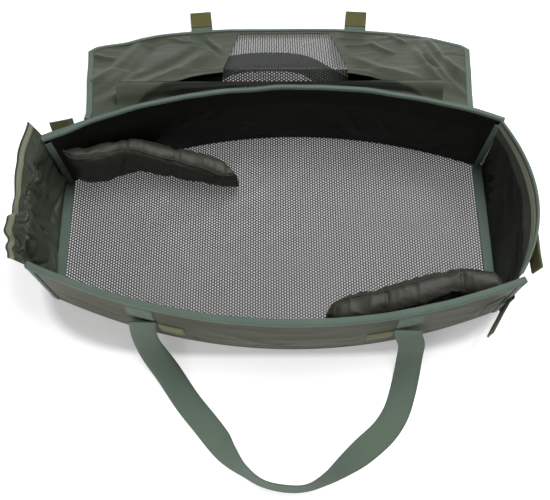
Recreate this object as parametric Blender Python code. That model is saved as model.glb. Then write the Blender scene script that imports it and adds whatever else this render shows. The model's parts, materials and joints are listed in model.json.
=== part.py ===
"""Carp cradle: a soft cradle that holds a landed carp. It has a net floor, two bowed padded walls,
fold-down cloth ends, two padded wings, a lid with a net window and two webbing carry handles.

Metres. +X runs along the cradle, +Y towards the lid's side, +Z up from the ground.
The lid lies folded back behind the rear wall and the front handle lies on the ground.
"""

import math

import bmesh
import bpy
from mathutils import Matrix, Vector

for old in list(bpy.data.objects):
    bpy.data.objects.remove(old, do_unlink=True)

# Clearance between touching pieces, and the stocks that everything is sewn from
GAP = 0.0003
CLOTH = 0.0010
TAPE = 0.0012
WEBBING = 0.0020
WEBBING_WIDTH = 0.050
HOOK = 0.0014

# Plan of the cradle: the outer faces of the walls at the rim
WALL_END_X = 0.445
HALF_DEPTH_MIDDLE = 0.242
HALF_DEPTH_LEFT = 0.132
HALF_DEPTH_RIGHT = 0.166

# Long walls
WALL_HEIGHT = 0.190
WALL_EDGE_THICKNESS = 0.0106
OUTER_CROWN = 0.006
INNER_CROWN = 0.004
CROWN_FADE = 0.050
RIM_LEG = 0.014
END_LEG = 0.012
WALL_COLUMNS_BETWEEN = (0.0, 0.085, 0.330)
WALL_LOW_ROW = 0.030

# Net floor
BASE_END_X = 0.4550
NET_THICKNESS = 0.0030
NET_MARGIN = 0.026
NET_GAPS_LONG = 17
NET_GAPS_WIDE = 8
WINDOW_GAPS_WIDE = 6
WINDOW_GAPS_LONG = {"upper": 4, "middle": 3, "outer": 4}
NET_BAR = 0.006
BASE_TAPE_WIDTH = 0.020
BASE_TAPE_INSET = 0.0085
BASE_TAPE = 0.0020

# Handles, the squares of hook and loop, and their places along the front wall
HANDLE_X = 0.243
HANDLE_STEPS = 2
ANCHOR_BOTTOM = 0.125
PATCH_X = 0.193
PATCH_WIDTH = 0.050
PATCH_BOTTOM = 0.060
PATCH_TOP = 0.110
LOOP = 0.0014
CORNER_PATCH_X = 0.408
CORNER_PATCH_WIDTH = 0.036
CORNER_PATCH_BOTTOM = 0.060
CORNER_PATCH_TOP = 0.125

# End panels and their top flaps
PANEL_THICKNESS = 0.0024
PANEL_HEIGHT = 0.137
FLAP_HEIGHT = 0.050
FLAP_THICKNESS = 0.0020
FLAP_BINDING = 0.0010
FLAP_LEG = 0.005
STRIP_WIDTH = 0.014
PANEL_SIDE_CLEARANCE = 0.004
PANEL_LEAN = {"left": 7.5, "right": 12.0}
PANEL_BOW = {"left": 0.004, "right": 0.050}
FLAP_FLOP = {"left": 127.5, "right": 0.0}
GATHER_DEPTH = {"left": 0.0032, "right": 0.0010}
GATHER_COUNT = {"left": 7, "right": 3}
EDGE_STEP = {"left": 4, "right": 1}
COLUMNS_PER_GATHER = 4
PANEL_COLUMNS = 13
PANEL_ROWS = 4
FLAP_ROWS = (0.33, 0.67, 1.0)

# Padded wings
WING_HEIGHT = 0.090
WING_HALF_THICKNESS = 0.0165
WING_SEAM = 0.0030
WING_COVER = 0.0012
WING_PIPING = 0.0020
WING_ROOT_X = 0.430
WING_TAPER_ROOT = 0.16
WING_TAPER_TIP = 0.10
WING_TIP_FULLNESS = 0.25
WING_TIP_DROP = 0.22
WING_CHANNEL = 0.14
WING_CHANNELS = (0.36, 0.68)
WING_CHANNEL_WIDTH = 0.025
WING_STEPS = 3

# Lid, measured on the flat lid from its hinge
LID_HINGE_OFFSET = 0.0075
LID_LIFT = 0.0040
LID_THICKNESS = 0.0016
LID_NET_THICKNESS = 0.0012
LID_PIVOT_GAP = 0.00015
LID_UPPER = 0.185
LID_MIDDLE = 0.120
LID_OUTER = 0.187
LID_CENTRE_X = 0.012
LID_HALF_HINGE = 0.300
LID_HALF_FOLD = 0.295
LID_HALF_RIDGE = 0.240
LID_HALF_EDGE = 0.425
LID_HALF_REAR = 0.378
LID_REAR_INNER = 0.350
LID_EDGE_BOW = 0.100
LID_HEM = 0.022
LID_BINDING = 0.0010
LID_BINDING_LEG = 0.010
LID_TAB_X = 0.178
LID_TAB_LENGTH = 0.052
LID_TAB_WIDTH = 0.049
TAB_ROOT = 0.010
WINDOW_SHIFT = 0.013
WINDOW_HALF_HINGE = 0.165
WINDOW_HALF_FOLD = 0.150
WINDOW_HALF_RIDGE = 0.133
WINDOW_HALF_EDGE = 0.105
WINDOW_BAR = 0.006
WINDOW_MARGIN = 0.008
LID_REAR_CLEARANCE = 0.004
LID_ROOT_THICKNESS = 0.0012
LID_ROOT_COLUMNS = 17

# How far the lid is folded back, in degrees from flat over the cradle
LID_SWING = 266.0
FOLD_ANGLE = 128.1
RIDGE_ANGLE = 69.35

# Short tabs: behind the rear wall, on the right flap and at the front wall's right end
TAB_WIDTH = 0.038
REAR_TAB_X = 0.388
REAR_TAB_LENGTH = 0.046
REAR_TAB_TILT = 35.0
REAR_TAB_SPREAD = 8.0
REAR_TAB_BOTTOM = 0.140
WRAP_TAB_LENGTH = 0.070
WRAP_TAB_Y = -0.068
WRAP_TAB_RISE = 0.006
WRAP_TAB_SPREAD = 12.0
HANGING_TAB_LENGTH = 0.080
HANGING_TAB_BOTTOM = 0.060
HANGING_TAB_SPREAD = 35.0

SMOOTH_ANGLE = math.radians(40.0)
ORIGIN = Vector((0.0, 0.0, 0.0))
X_AXIS = Vector((1.0, 0.0, 0.0))
Y_AXIS = Vector((0.0, 1.0, 0.0))
Z_AXIS = Vector((0.0, 0.0, 1.0))
FRONT = -1
REAR = 1
SIDE_NAME = {FRONT: "front", REAR: "rear"}
END_SIGN = {"left": -1, "right": 1}

# Finish of each stock: colour, roughness
FINISHES = {
    "outer_nylon": ((0.060, 0.062, 0.045), 0.55),
    "lining_nylon": ((0.022, 0.024, 0.018), 0.45),
    "lid_nylon": ((0.060, 0.070, 0.055), 0.50),
    "webbing": ((0.105, 0.160, 0.130), 0.80),
    "binding": ((0.110, 0.165, 0.135), 0.75),
    "hook": ((0.130, 0.125, 0.035), 0.90),
    "loop": ((0.150, 0.165, 0.085), 0.95),
    "net": ((0.070, 0.068, 0.070), 0.70),
    "foam": ((0.350, 0.350, 0.330), 0.95),
}


# Mesh helpers

def make_material(name, finish):
    colour, roughness = FINISHES[finish]
    material = bpy.data.materials.new(name)
    material.use_nodes = True
    shader = material.node_tree.nodes["Principled BSDF"]
    shader.inputs["Base Color"].default_value = (*colour, 1.0)
    shader.inputs["Roughness"].default_value = roughness
    shader.inputs["Metallic"].default_value = 0.0
    return material


def finish_object(name, finish, bm, pivot):
    """Turn a bmesh in world space into a named object whose origin is the pivot."""
    bmesh.ops.recalc_face_normals(bm, faces=bm.faces)
    bmesh.ops.translate(bm, verts=bm.verts, vec=-pivot)
    mesh = bpy.data.meshes.new(name)
    bm.to_mesh(mesh)
    bm.free()
    mesh.materials.append(make_material(name, finish))
    mesh.shade_smooth()
    mesh.set_sharp_from_angle(angle=SMOOTH_ANGLE)
    obj = bpy.data.objects.new(name, mesh)
    obj.location = pivot
    bpy.context.scene.collection.objects.link(obj)
    return obj


def lattice(name, finish, near, far, is_open=None, pivot=ORIGIN):
    """Closed sheet between two grids of points. Cells for which is_open is true are left out."""
    bm = bmesh.new()
    rows = range(len(near) - 1)
    columns = range(len(near[0]) - 1)
    cells = {(r, c) for r in rows for c in columns if not (is_open and is_open(r, c))}
    grids = (near, far)
    made = {}

    def vertex(side, r, c):
        key = (side, r, c)
        if key not in made:
            made[key] = bm.verts.new(grids[side][r][c])
        return made[key]

    for r, c in sorted(cells):
        corners = ((r, c), (r, c + 1), (r + 1, c + 1), (r + 1, c))
        bm.faces.new([vertex(0, *corner) for corner in corners])
        bm.faces.new([vertex(1, *corners[index]) for index in (0, 3, 2, 1)])
        neighbours = ((r - 1, c), (r, c + 1), (r + 1, c), (r, c - 1))
        for index, neighbour in enumerate(neighbours):
            if neighbour not in cells:
                start = corners[index]
                end = corners[(index + 1) % 4]
                bm.faces.new([vertex(0, *end), vertex(0, *start), vertex(1, *start), vertex(1, *end)])
    return finish_object(name, finish, bm, pivot)


def sweep(name, finish, stations, section, pivot=ORIGIN):
    """Closed bar: a section of (u, v) points carried along stations of (point, u axis, v axis)."""
    bm = bmesh.new()
    rings = [[bm.verts.new(point + a * u + n * v) for u, v in section] for point, a, n in stations]
    count = len(section)
    for first, second in zip(rings, rings[1:]):
        for i in range(count):
            j = (i + 1) % count
            bm.faces.new((first[i], first[j], second[j], second[i]))
    bm.faces.new(list(reversed(rings[0])))
    bm.faces.new(rings[-1])
    return finish_object(name, finish, bm, pivot)


def slab(name, finish, corner, edges, pivot=ORIGIN):
    """Straight block from a corner and its three edge vectors."""
    a, b, c = edges
    near = [[corner, corner + a], [corner + b, corner + a + b]]
    far = [[point + c for point in row] for row in near]
    return lattice(name, finish, near, far, pivot=pivot)


def binding_section(cloth, leg, tape):
    """U-shaped tape round the edge of a cloth: u points out of the edge, v through the cloth."""
    inside = cloth / 2 + GAP
    outside = inside + tape
    return [(-leg, -outside), (GAP + tape, -outside), (GAP + tape, outside), (-leg, outside),
            (-leg, inside), (GAP, inside), (GAP, -inside), (-leg, -inside)]


def smooth_path(points, steps):
    """Points on a Catmull-Rom curve through the given vectors."""
    ends = [points[0] * 2 - points[1], *points, points[-1] * 2 - points[-2]]
    path = []
    for p0, p1, p2, p3 in zip(ends, ends[1:], ends[2:], ends[3:]):
        for i in range(steps):
            t = i / steps
            path.append(0.5 * ((2 * p1) + (p2 - p0) * t + (2 * p0 - 5 * p1 + 4 * p2 - p3) * t * t
                               + (3 * p1 - p0 - 3 * p2 + p3) * t * t * t))
    path.append(points[-1])
    return path


def tangents(path):
    """Unit direction of a path at each of its points."""
    last = len(path) - 1
    return [(path[min(i + 1, last)] - path[max(i - 1, 0)]).normalized() for i in range(last + 1)]


def between(start, end, count):
    return [start + (end - start) * i / (count - 1) for i in range(count)]


def smoothstep(t):
    t = min(1.0, max(0.0, t))
    return t * t * (3 - 2 * t)


# The bowed walls

def half_depth(x):
    """Distance from the long axis to a wall's outer face at the rim."""
    t = max(-1.0, min(1.0, x / WALL_END_X))
    mean_end = (HALF_DEPTH_LEFT + HALF_DEPTH_RIGHT) / 2
    widening = (HALF_DEPTH_RIGHT - HALF_DEPTH_LEFT) / 2
    return HALF_DEPTH_MIDDLE - (HALF_DEPTH_MIDDLE - mean_end) * t * t + widening * t


WALL_FOOT = NET_THICKNESS + GAP
WALL_TOP = WALL_HEIGHT - TAPE - GAP
RIM_BOTTOM = WALL_TOP - RIM_LEG


def wall_axes(side, x):
    """Point on the wall's plan curve, with its direction along +X and its outward normal."""
    step = 0.001
    slope = (half_depth(x + step) - half_depth(x - step)) / (2 * step)
    if abs(x) > WALL_END_X - step:
        inner = math.copysign(WALL_END_X - step, x)
        slope = (half_depth(inner + step) - half_depth(inner - step)) / (2 * step)
    along = Vector((1.0, side * slope, 0.0)).normalized()
    normal = Vector((-slope, side, 0.0)).normalized()
    return Vector((x, side * half_depth(x), 0.0)), along, normal


def crown(x, z):
    """How full the padding is, from 0 at the bound edges to 1 in the middle of the wall."""
    across = (z - WALL_FOOT) / (RIM_BOTTOM - WALL_FOOT)
    if across >= 1.0:
        return 0.0
    return math.sin(math.pi * across) * smoothstep((WALL_END_X - END_LEG - abs(x)) / CROWN_FADE)


def outer_face(x, z):
    return OUTER_CROWN * crown(x, z)


def inner_face(x, z):
    return -WALL_EDGE_THICKNESS - INNER_CROWN * crown(x, z)


def wall_point(side, x, z, offset):
    point, _, normal = wall_axes(side, x)
    return point + normal * offset + Z_AXIS * z


def mirrored(*marks):
    return sorted({round(sign * mark, 6) for mark in marks for sign in (-1, 1)})


WALL_COLUMNS = sorted({*mirrored(*WALL_COLUMNS_BETWEEN, WALL_END_X, WALL_END_X - END_LEG,
                                 PATCH_X - PATCH_WIDTH / 2, PATCH_X + PATCH_WIDTH / 2,
                                 HANDLE_X - WEBBING_WIDTH / 2, HANDLE_X + WEBBING_WIDTH / 2),
                       -REAR_TAB_X, round(CORNER_PATCH_X - CORNER_PATCH_WIDTH / 2, 6),
                       round(CORNER_PATCH_X + CORNER_PATCH_WIDTH / 2, 6)})
WALL_ROWS = sorted({WALL_FOOT, WALL_LOW_ROW, PATCH_BOTTOM, PATCH_TOP, ANCHOR_BOTTOM, CORNER_PATCH_BOTTOM,
                    CORNER_PATCH_TOP, RIM_BOTTOM, WALL_TOP})


def wall_sheet(name, finish, side, near, far, rows, span=None, heights=None):
    """Sheet on a wall. near and far give its two faces as offsets at (x, z)."""
    slack = 1e-5
    columns = [x for x in WALL_COLUMNS if span is None or span[0] - slack <= x <= span[1] + slack]
    levels = [z for z in rows if heights is None or heights[0] - slack <= z <= heights[1] + slack]
    faces = [[[wall_point(side, x, z, offset(x, z)) for x in columns] for z in levels]
             for offset in (near, far)]
    return lattice(name, finish, *faces)


def make_wall(side):
    name = SIDE_NAME[side]
    wall_sheet(f"{name}_wall_outer_cloth", "outer_nylon", side,
               outer_face, lambda x, z: outer_face(x, z) - CLOTH, WALL_ROWS)
    wall_sheet(f"{name}_wall_foam", "foam", side,
               lambda x, z: outer_face(x, z) - CLOTH - GAP,
               lambda x, z: inner_face(x, z) + CLOTH + GAP, WALL_ROWS)
    wall_sheet(f"{name}_wall_lining", "lining_nylon", side,
               lambda x, z: inner_face(x, z) + CLOTH, inner_face, WALL_ROWS)
    make_rim_tape(side)
    for end in END_SIGN:
        make_end_tape(side, end)


def make_rim_tape(side):
    section = binding_section(WALL_EDGE_THICKNESS, RIM_LEG - GAP, TAPE)
    stations = []
    for x in WALL_COLUMNS:
        _, along, normal = wall_axes(side, x)
        middle = wall_point(side, x, WALL_TOP, -WALL_EDGE_THICKNESS / 2)
        if abs(x) > WALL_END_X - GAP:
            middle = middle + along * math.copysign(GAP + TAPE, x)
        stations.append((middle, Z_AXIS, normal))
    sweep(f"{SIDE_NAME[side]}_rim_tape", "binding", stations, section)


def make_end_tape(side, end):
    sign = END_SIGN[end]
    _, along, normal = wall_axes(side, sign * WALL_END_X)
    section = binding_section(WALL_EDGE_THICKNESS, END_LEG - GAP, TAPE)
    stations = [(wall_point(side, sign * WALL_END_X, z, -WALL_EDGE_THICKNESS / 2), along * sign, normal)
                for z in (WALL_FOOT, RIM_BOTTOM)]
    sweep(f"{SIDE_NAME[side]}_{end}_end_tape", "binding", stations, section)


def on_wall(side, name, finish, thickness, centre, width, bottom, top):
    """Piece sewn flat on a wall's outer face."""
    wall_sheet(name, finish, side,
               lambda x, z: outer_face(x, z) + GAP,
               lambda x, z: outer_face(x, z) + GAP + thickness,
               WALL_ROWS, span=(centre - width / 2, centre + width / 2), heights=(bottom, top))


# The net floor and the tapes along its ends

def gap_lines(start, end, gaps, bar):
    """Positions of the edges of equal gaps with bars between them."""
    gap = (end - start - bar * (gaps - 1)) / gaps
    lines = []
    for i in range(gaps):
        left = start + i * (gap + bar)
        lines += [left, left + gap]
    return lines


def is_gap(row, column):
    return row % 2 == 1 and column % 2 == 1


def make_base_net():
    inner_x = BASE_END_X - NET_MARGIN
    columns = [-BASE_END_X, *gap_lines(-inner_x, inner_x, NET_GAPS_LONG, NET_BAR), BASE_END_X]
    margin = NET_MARGIN / HALF_DEPTH_MIDDLE
    bar = NET_BAR / HALF_DEPTH_MIDDLE
    rows = [-1.0, *gap_lines(margin - 1.0, 1.0 - margin, NET_GAPS_WIDE, bar), 1.0]
    faces = [[[Vector((x, v * half_depth(x), z)) for x in columns] for v in rows]
             for z in (0.0, NET_THICKNESS)]
    lattice("base_net", "net", *faces, is_open=is_gap)


def panel_half_width(end):
    """Half the width of an end panel, which passes between the wall ends."""
    sign = END_SIGN[end]
    return half_depth(sign * WALL_END_X) - WALL_EDGE_THICKNESS - GAP - TAPE - PANEL_SIDE_CLEARANCE


def make_base_tape(end):
    sign = END_SIGN[end]
    half = panel_half_width(end) - PANEL_SIDE_CLEARANCE
    outer = sign * (BASE_END_X - BASE_TAPE_INSET)
    slab(f"{end}_base_tape", "binding", Vector((outer, -half, NET_THICKNESS + GAP)),
         (Y_AXIS * 2 * half, X_AXIS * -sign * BASE_TAPE_WIDTH, Z_AXIS * BASE_TAPE))


# Fold-down ends: a panel on the floor's end, and a flap with a hook strip along its top

END_TOTAL = PANEL_HEIGHT + FLAP_HEIGHT
PANEL_FOOT_X = BASE_END_X - BASE_TAPE_INSET + GAP + PANEL_THICKNESS / 2
PANEL_FOOT_Z = NET_THICKNESS + GAP + PANEL_THICKNESS / 2


def end_axes(end):
    """Foot, upward direction and outward normal of an end panel."""
    sign = END_SIGN[end]
    lean = math.radians(PANEL_LEAN[end])
    foot = Vector((sign * PANEL_FOOT_X, 0.0, PANEL_FOOT_Z))
    up = Vector((sign * math.sin(lean), 0.0, math.cos(lean)))
    out = Vector((sign * math.cos(lean), 0.0, -math.sin(lean)))
    return foot, up, out


def panel_axis(end):
    """Point on the line about which an end panel folds outwards: its outer bottom edge."""
    foot, _, out = end_axes(end)
    return foot + out * PANEL_THICKNESS / 2


def crest_axis(end):
    """Point on the line about which the flap folds.

    The flopped flap turns on the outer top edge of its panel. The standing one can fold inwards, on
    the inner corners of the panel's curved top edge.
    """
    foot, up, out = end_axes(end)
    inner = PANEL_BOW[end] * PANEL_HEIGHT / END_TOTAL + PANEL_THICKNESS / 2
    return foot + up * PANEL_HEIGHT + out * (PANEL_THICKNESS / 2 if FLAP_FLOP[end] else -inner)


def end_point(end, y, height, offset):
    """Point on the standing end at a height along the cloth. offset counts outwards."""
    foot, up, out = end_axes(end)
    bow = PANEL_BOW[end] * height / END_TOTAL * (y / panel_half_width(end)) ** 2
    return foot + up * height + out * (offset - bow) + Y_AXIS * y


def flap_turn(end):
    """Turn that brings the standing flap to where it lies."""
    axis = crest_axis(end)
    angle = END_SIGN[end] * math.radians(FLAP_FLOP[end])
    return Matrix.Translation(axis) @ Matrix.Rotation(angle, 4, "Y") @ Matrix.Translation(-axis)


def end_columns(end, count):
    half = panel_half_width(end)
    return between(-half, half, count)


def make_end_panel(end):
    columns = end_columns(end, PANEL_COLUMNS)
    heights = between(0.0, PANEL_HEIGHT - GAP, PANEL_ROWS)
    faces = [[[end_point(end, y, s, offset) for y in columns] for s in heights]
             for offset in (-PANEL_THICKNESS / 2, PANEL_THICKNESS / 2)]
    lattice(f"{end}_end_panel", "lining_nylon", *faces, pivot=panel_axis(end))


def make_end_flap(end):
    turn = flap_turn(end)
    outer = PANEL_THICKNESS / 2
    flat_from = FLAP_HEIGHT - FLAP_LEG - STRIP_WIDTH - FLAP_LEG
    columns = end_columns(end, COLUMNS_PER_GATHER * GATHER_COUNT[end] + 1)
    half = panel_half_width(end)
    strip_top = flat_from + STRIP_WIDTH
    heights = [GAP, *[flat_from * share for share in FLAP_ROWS], strip_top, FLAP_HEIGHT]

    def gather(y, t):
        if t >= flat_from:
            return 0.0
        wave = math.sin(math.pi * GATHER_COUNT[end] * (y + half) / half)
        return GATHER_DEPTH[end] * wave * math.sin(math.pi * t / flat_from)

    def sheet(columns, heights, near, far):
        return [[[turn @ end_point(end, y, PANEL_HEIGHT + t, offset + gather(y, t)) for y in columns]
                 for t in heights] for offset in (near, far)]

    edge = columns[::EDGE_STEP[end]]
    pivot = crest_axis(end)
    lattice(f"{end}_end_flap", "lining_nylon",
            *sheet(columns, heights, outer - FLAP_THICKNESS, outer), pivot=pivot)
    strip_face = outer - FLAP_THICKNESS - GAP
    lattice(f"{end}_hook_strip", "loop",
            *sheet(edge, [flat_from, strip_top], strip_face - HOOK, strip_face),
            pivot=pivot)
    stations = []
    for y in edge:
        top = turn @ end_point(end, y, END_TOTAL, outer - FLAP_THICKNESS / 2)
        lower = turn @ end_point(end, y, END_TOTAL - FLAP_LEG, outer - FLAP_THICKNESS / 2)
        _, _, out = end_axes(end)
        stations.append((top, (top - lower).normalized(), turn.to_3x3() @ out))
    sweep(f"{end}_flap_tape", "binding", stations,
          binding_section(FLAP_THICKNESS, FLAP_LEG - GAP, FLAP_BINDING), pivot=pivot)


# Padded wings

WING_FOOT = NET_THICKNESS + BASE_TAPE + 2 * GAP


def wing_root(end):
    """Vertical seam that a wing swings on, against the lining by the end of its wall."""
    sign = END_SIGN[end]
    side = -sign
    x = sign * WING_ROOT_X
    return wall_point(side, x, 0.0, -WALL_EDGE_THICKNESS - GAP - WING_SEAM)


WING_COURSE = {
    "left": [(-0.385, 0.124), (-0.330, 0.144), (-0.275, 0.156), (-0.215, 0.148), (-0.140, 0.130),
             (-0.075, 0.102)],
    "right": [(0.398, -0.149), (0.340, -0.143), (0.270, -0.160), (0.200, -0.176), (0.140, -0.188),
              (0.095, -0.198)],
}
WING_PROFILE = (0.0, 0.22, 0.45, 0.70, 0.89, 1.0)
WING_BELLY = 0.42
WING_BELOW = 0.62
WING_ABOVE = 0.58


def wing_fullness(share):
    """Half thickness along a wing as a share: thin at the seam, full, then rounded at the tip."""
    root = smoothstep(share / WING_TAPER_ROOT)
    tip = smoothstep((1.0 - share) / WING_TAPER_TIP)
    channel = sum(math.exp(-((share - place) / WING_CHANNEL_WIDTH) ** 2) for place in WING_CHANNELS)
    return root * (WING_TIP_FULLNESS + (1.0 - WING_TIP_FULLNESS) * tip) * (1.0 - WING_CHANNEL * channel)


def wing_height(share):
    return WING_HEIGHT * (1.0 - WING_TIP_DROP * (1.0 - smoothstep((1.0 - share) / WING_TAPER_ROOT)))


def wing_half_width(share, level):
    """Half thickness of the cover's outer face at a level from 0 at the foot to 1 at the top."""
    reach = WING_BELOW if level < WING_BELLY else WING_ABOVE
    bulge = math.sqrt(max(0.0, 1.0 - ((level - WING_BELLY) / reach) ** 2))
    return max(WING_SEAM, WING_HALF_THICKNESS * wing_fullness(share) * bulge)


def wing_ring(centre, across, share, inset):
    """Section of a wing from one foot over the top to the other, drawn in by an inset."""
    height = wing_height(share) - inset
    ring = []
    for sign, levels in ((-1, WING_PROFILE), (1, tuple(reversed(WING_PROFILE)))):
        for level in levels:
            half = wing_half_width(share, level) - inset
            ring.append(centre + across * sign * half + Z_AXIS * (WING_FOOT + level * height))
    return ring


def make_wing(end):
    root = wing_root(end)
    course = smooth_path([root, *[Vector((x, y, 0.0)) for x, y in WING_COURSE[end]]], WING_STEPS)
    directions = tangents(course)
    shares = [i / (len(course) - 1) for i in range(len(course))]
    across = [Vector((-d.y, d.x, 0.0)) for d in directions]

    def rings(inset):
        return [wing_ring(p, a, share, inset) for p, a, share in zip(course, across, shares)]

    lattice(f"{end}_wing_cover", "lining_nylon", rings(0.0), rings(WING_COVER), pivot=root)
    foam = [[(p - centre).dot(a) for p in ring] for ring, centre, a in
            zip(rings(WING_COVER + GAP), course, across)]
    heights = [[p.z for p in ring] for ring in rings(WING_COVER + GAP)]
    make_wing_foam(end, course, across, foam, heights, root)
    make_wing_piping(end, course, directions, across, shares, root)


def make_wing_foam(end, course, across, widths, heights, root):
    """Foam that fills a wing's cover."""
    bm = bmesh.new()
    rings = []
    for centre, a, ring_widths, ring_heights in zip(course, across, widths, heights):
        rings.append([bm.verts.new(centre + a * width + Z_AXIS * height)
                      for width, height in zip(ring_widths, ring_heights)])
    for first, second in zip(rings, rings[1:]):
        for i in range(len(first)):
            j = (i + 1) % len(first)
            bm.faces.new((first[i], first[j], second[j], second[i]))
    bm.faces.new(list(reversed(rings[0])))
    bm.faces.new(rings[-1])
    finish_object(f"{end}_wing_foam", "foam", bm, root)


def make_wing_piping(end, course, directions, across, shares, root):
    """Piped seam along the top of a wing and down its tip."""
    clear = GAP + WING_PIPING
    top = [p + Z_AXIS * (WING_FOOT + wing_height(share)) for p, share in zip(course, shares)]
    line = [p + d.cross(s).normalized() * clear for p, d, s in zip(top, tangents(top), across)]
    tip = top[-1] + directions[-1] * clear
    line[-1] = tip + Z_AXIS * clear
    line.append(tip + Z_AXIS * -wing_height(1.0) / 2)
    line.append(tip + Z_AXIS * (WING_PIPING - wing_height(1.0)))
    sides = [*across, across[-1], across[-1]]
    hexagon = [(WING_PIPING * math.cos(math.radians(60 * i)), WING_PIPING * math.sin(math.radians(60 * i)))
               for i in range(6)]
    stations = [(p, d.cross(s).normalized(), s) for p, d, s in zip(line, tangents(line), sides)]
    sweep(f"{end}_wing_piping", "binding", stations, hexagon, pivot=root)


# Webbing handles

def strap_reach(side, x):
    """Distance from the long axis to the middle of a strap that lies on its anchor at x."""
    face = outer_face(x, ANCHOR_BOTTOM) + GAP + WEBBING
    return abs(wall_point(side, x, ANCHOR_BOTTOM, face).y) + GAP + WEBBING / 2


def handle_root(side, end):
    """Top of a handle's leg. Both roots lie on a straight line that just clears the anchors."""
    inner = HANDLE_X - WEBBING_WIDTH / 2
    left = strap_reach(side, -inner)
    right = strap_reach(side, inner)
    reach = (left + right) / 2 + END_SIGN[end] * (right - left) / 2 * HANDLE_X / inner
    return Vector((END_SIGN[end] * HANDLE_X, side * reach, ANCHOR_BOTTOM))


def handle_axis(side):
    """Direction, along +X, of the line through both roots of a handle."""
    return (handle_root(side, "right") - handle_root(side, "left")).normalized()


# Places of a strap between its two roots: a point, the heading of its width and its tilt in degrees.
# Where the height is None the strap lies on the ground on its lower edge.
HANDLE_COURSE = {
    FRONT: [
        ((-0.2432, -0.2190, 0.114), -2, 0), ((-0.246, -0.2235, 0.092), -2, 0),
        ((-0.246, -0.2340, 0.060), 0, 0),
        ((-0.235, -0.254, 0.030), 10, 0), ((-0.208, -0.288, 0.008), 28, 0),
        ((-0.170, -0.342, None), 40, 0), ((-0.134, -0.385, None), 46, 0),
        ((-0.108, -0.417, None), 48, 12), ((-0.086, -0.445, None), 50, 42), ((-0.060, -0.471, None), 55, 68),
        ((-0.026, -0.494, None), 70, 78), ((0.016, -0.504, None), 88, 78), ((0.056, -0.503, None), 98, 78),
        ((0.092, -0.487, None), 112, 66), ((0.130, -0.461, None), 122, 40), ((0.168, -0.433, None), 130, 12),
        ((0.204, -0.402, None), 137, 0), ((0.228, -0.369, None), 150, 0), ((0.243, -0.332, None), 164, 0),
        ((0.253, -0.295, 0.008), 172, 0), ((0.257, -0.267, 0.031), 178, 0), ((0.256, -0.2510, 0.066), 178, 0),
        ((0.247, -0.2408, 0.094), 178, 0), ((0.2432, -0.2377, 0.114), 178, 0),
    ],
    REAR: [
        ((-0.242, 0.2220, 0.085), 182, 0), ((-0.240, 0.2280, 0.045), 181, 0),
        ((-0.238, 0.2365, 0.020), 180, 0),
        ((-0.234, 0.2480, 0.0062), 180, 0), ((-0.230, 0.2600, None), 178, 0), ((-0.218, 0.290, None), 160, 0),
        ((-0.190, 0.340, None), 146, 0), ((-0.145, 0.388, None), 134, 0), ((-0.085, 0.425, None), 112, 0),
        ((0.000, 0.440, None), 90, 0),
        ((0.085, 0.425, None), 68, 0), ((0.145, 0.388, None), 46, 0), ((0.190, 0.340, None), 34, 0),
        ((0.218, 0.290, None), 20, 0), ((0.230, 0.2600, None), 2, 0), ((0.234, 0.2500, 0.0062), 0, 0),
        ((0.238, 0.2435, 0.020), 1, 0), ((0.240, 0.2405, 0.045), 1, 0), ((0.242, 0.2388, 0.085), 2, 0),
    ],
}


def heading_vector(heading, tilt):
    level = math.cos(math.radians(tilt))
    turn = math.radians(heading)
    return Vector((level * math.cos(turn), level * math.sin(turn), math.sin(math.radians(tilt))))


def lying_height(tilt):
    """Height of the middle of a strap that stands on the ground on its lower edge."""
    lean = math.radians(tilt)
    return GAP + WEBBING_WIDTH / 2 * math.sin(lean) + WEBBING / 2 * abs(math.cos(lean))


def make_handle(side):
    left = handle_root(side, "left")
    right = handle_root(side, "right")
    across = handle_axis(side) * -side
    places = [left]
    widths = [across]
    for (x, y, z), heading, tilt in HANDLE_COURSE[side]:
        places.append(Vector((x, y, lying_height(tilt) if z is None else z)))
        widths.append(heading_vector(heading, tilt))
    places = smooth_path([*places, right], HANDLE_STEPS)
    widths = smooth_path([*widths, -across], HANDLE_STEPS)
    stations = []
    half = WEBBING_WIDTH / 2
    thin = WEBBING / 2
    for place, along, width in zip(places, tangents(places), widths):
        level = (width - along * width.dot(along)).normalized()
        face = along.cross(level)
        lowest = place.z - half * abs(level.z) - thin * abs(face.z)
        stations.append((place + Z_AXIS * max(0.0, GAP - lowest), level, face))
    section = [(-half, -thin), (half, -thin), (half, thin), (-half, thin)]
    sweep(f"{SIDE_NAME[side]}_handle_strap", "webbing", stations, section, pivot=left)


def make_wall_fittings():
    """Sewn ends of the handles, and the loop squares that the lid's tabs and a corner tab close on."""
    for side in SIDE_NAME:
        for end, sign in END_SIGN.items():
            on_wall(side, f"{SIDE_NAME[side]}_handle_anchor_{end}", "webbing", WEBBING,
                    sign * HANDLE_X, WEBBING_WIDTH, ANCHOR_BOTTOM, RIM_BOTTOM)
    for end, sign in END_SIGN.items():
        on_wall(FRONT, f"loop_patch_{end}", "loop", LOOP, sign * PATCH_X, PATCH_WIDTH,
                PATCH_BOTTOM, PATCH_TOP)
    on_wall(FRONT, "corner_loop_patch", "loop", LOOP, CORNER_PATCH_X, CORNER_PATCH_WIDTH,
            CORNER_PATCH_BOTTOM, CORNER_PATCH_TOP)


# The lid: three panels of nylon with a net window, drawn flat over the cradle and then folded back

HINGE = Vector((0.0, HALF_DEPTH_MIDDLE + LID_HINGE_OFFSET, WALL_HEIGHT + LID_LIFT))


def flat_lid_point(x, t, n):
    """Point on the closed lid: t from the hinge towards the front, n outwards from its middle."""
    return HINGE + Vector((x, -t, LID_PIVOT_GAP + LID_THICKNESS / 2 + n))


def turn_about(point, degrees):
    shift = Matrix.Translation(point)
    return shift @ Matrix.Rotation(math.radians(degrees), 4, "X") @ Matrix.Translation(-point)


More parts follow.
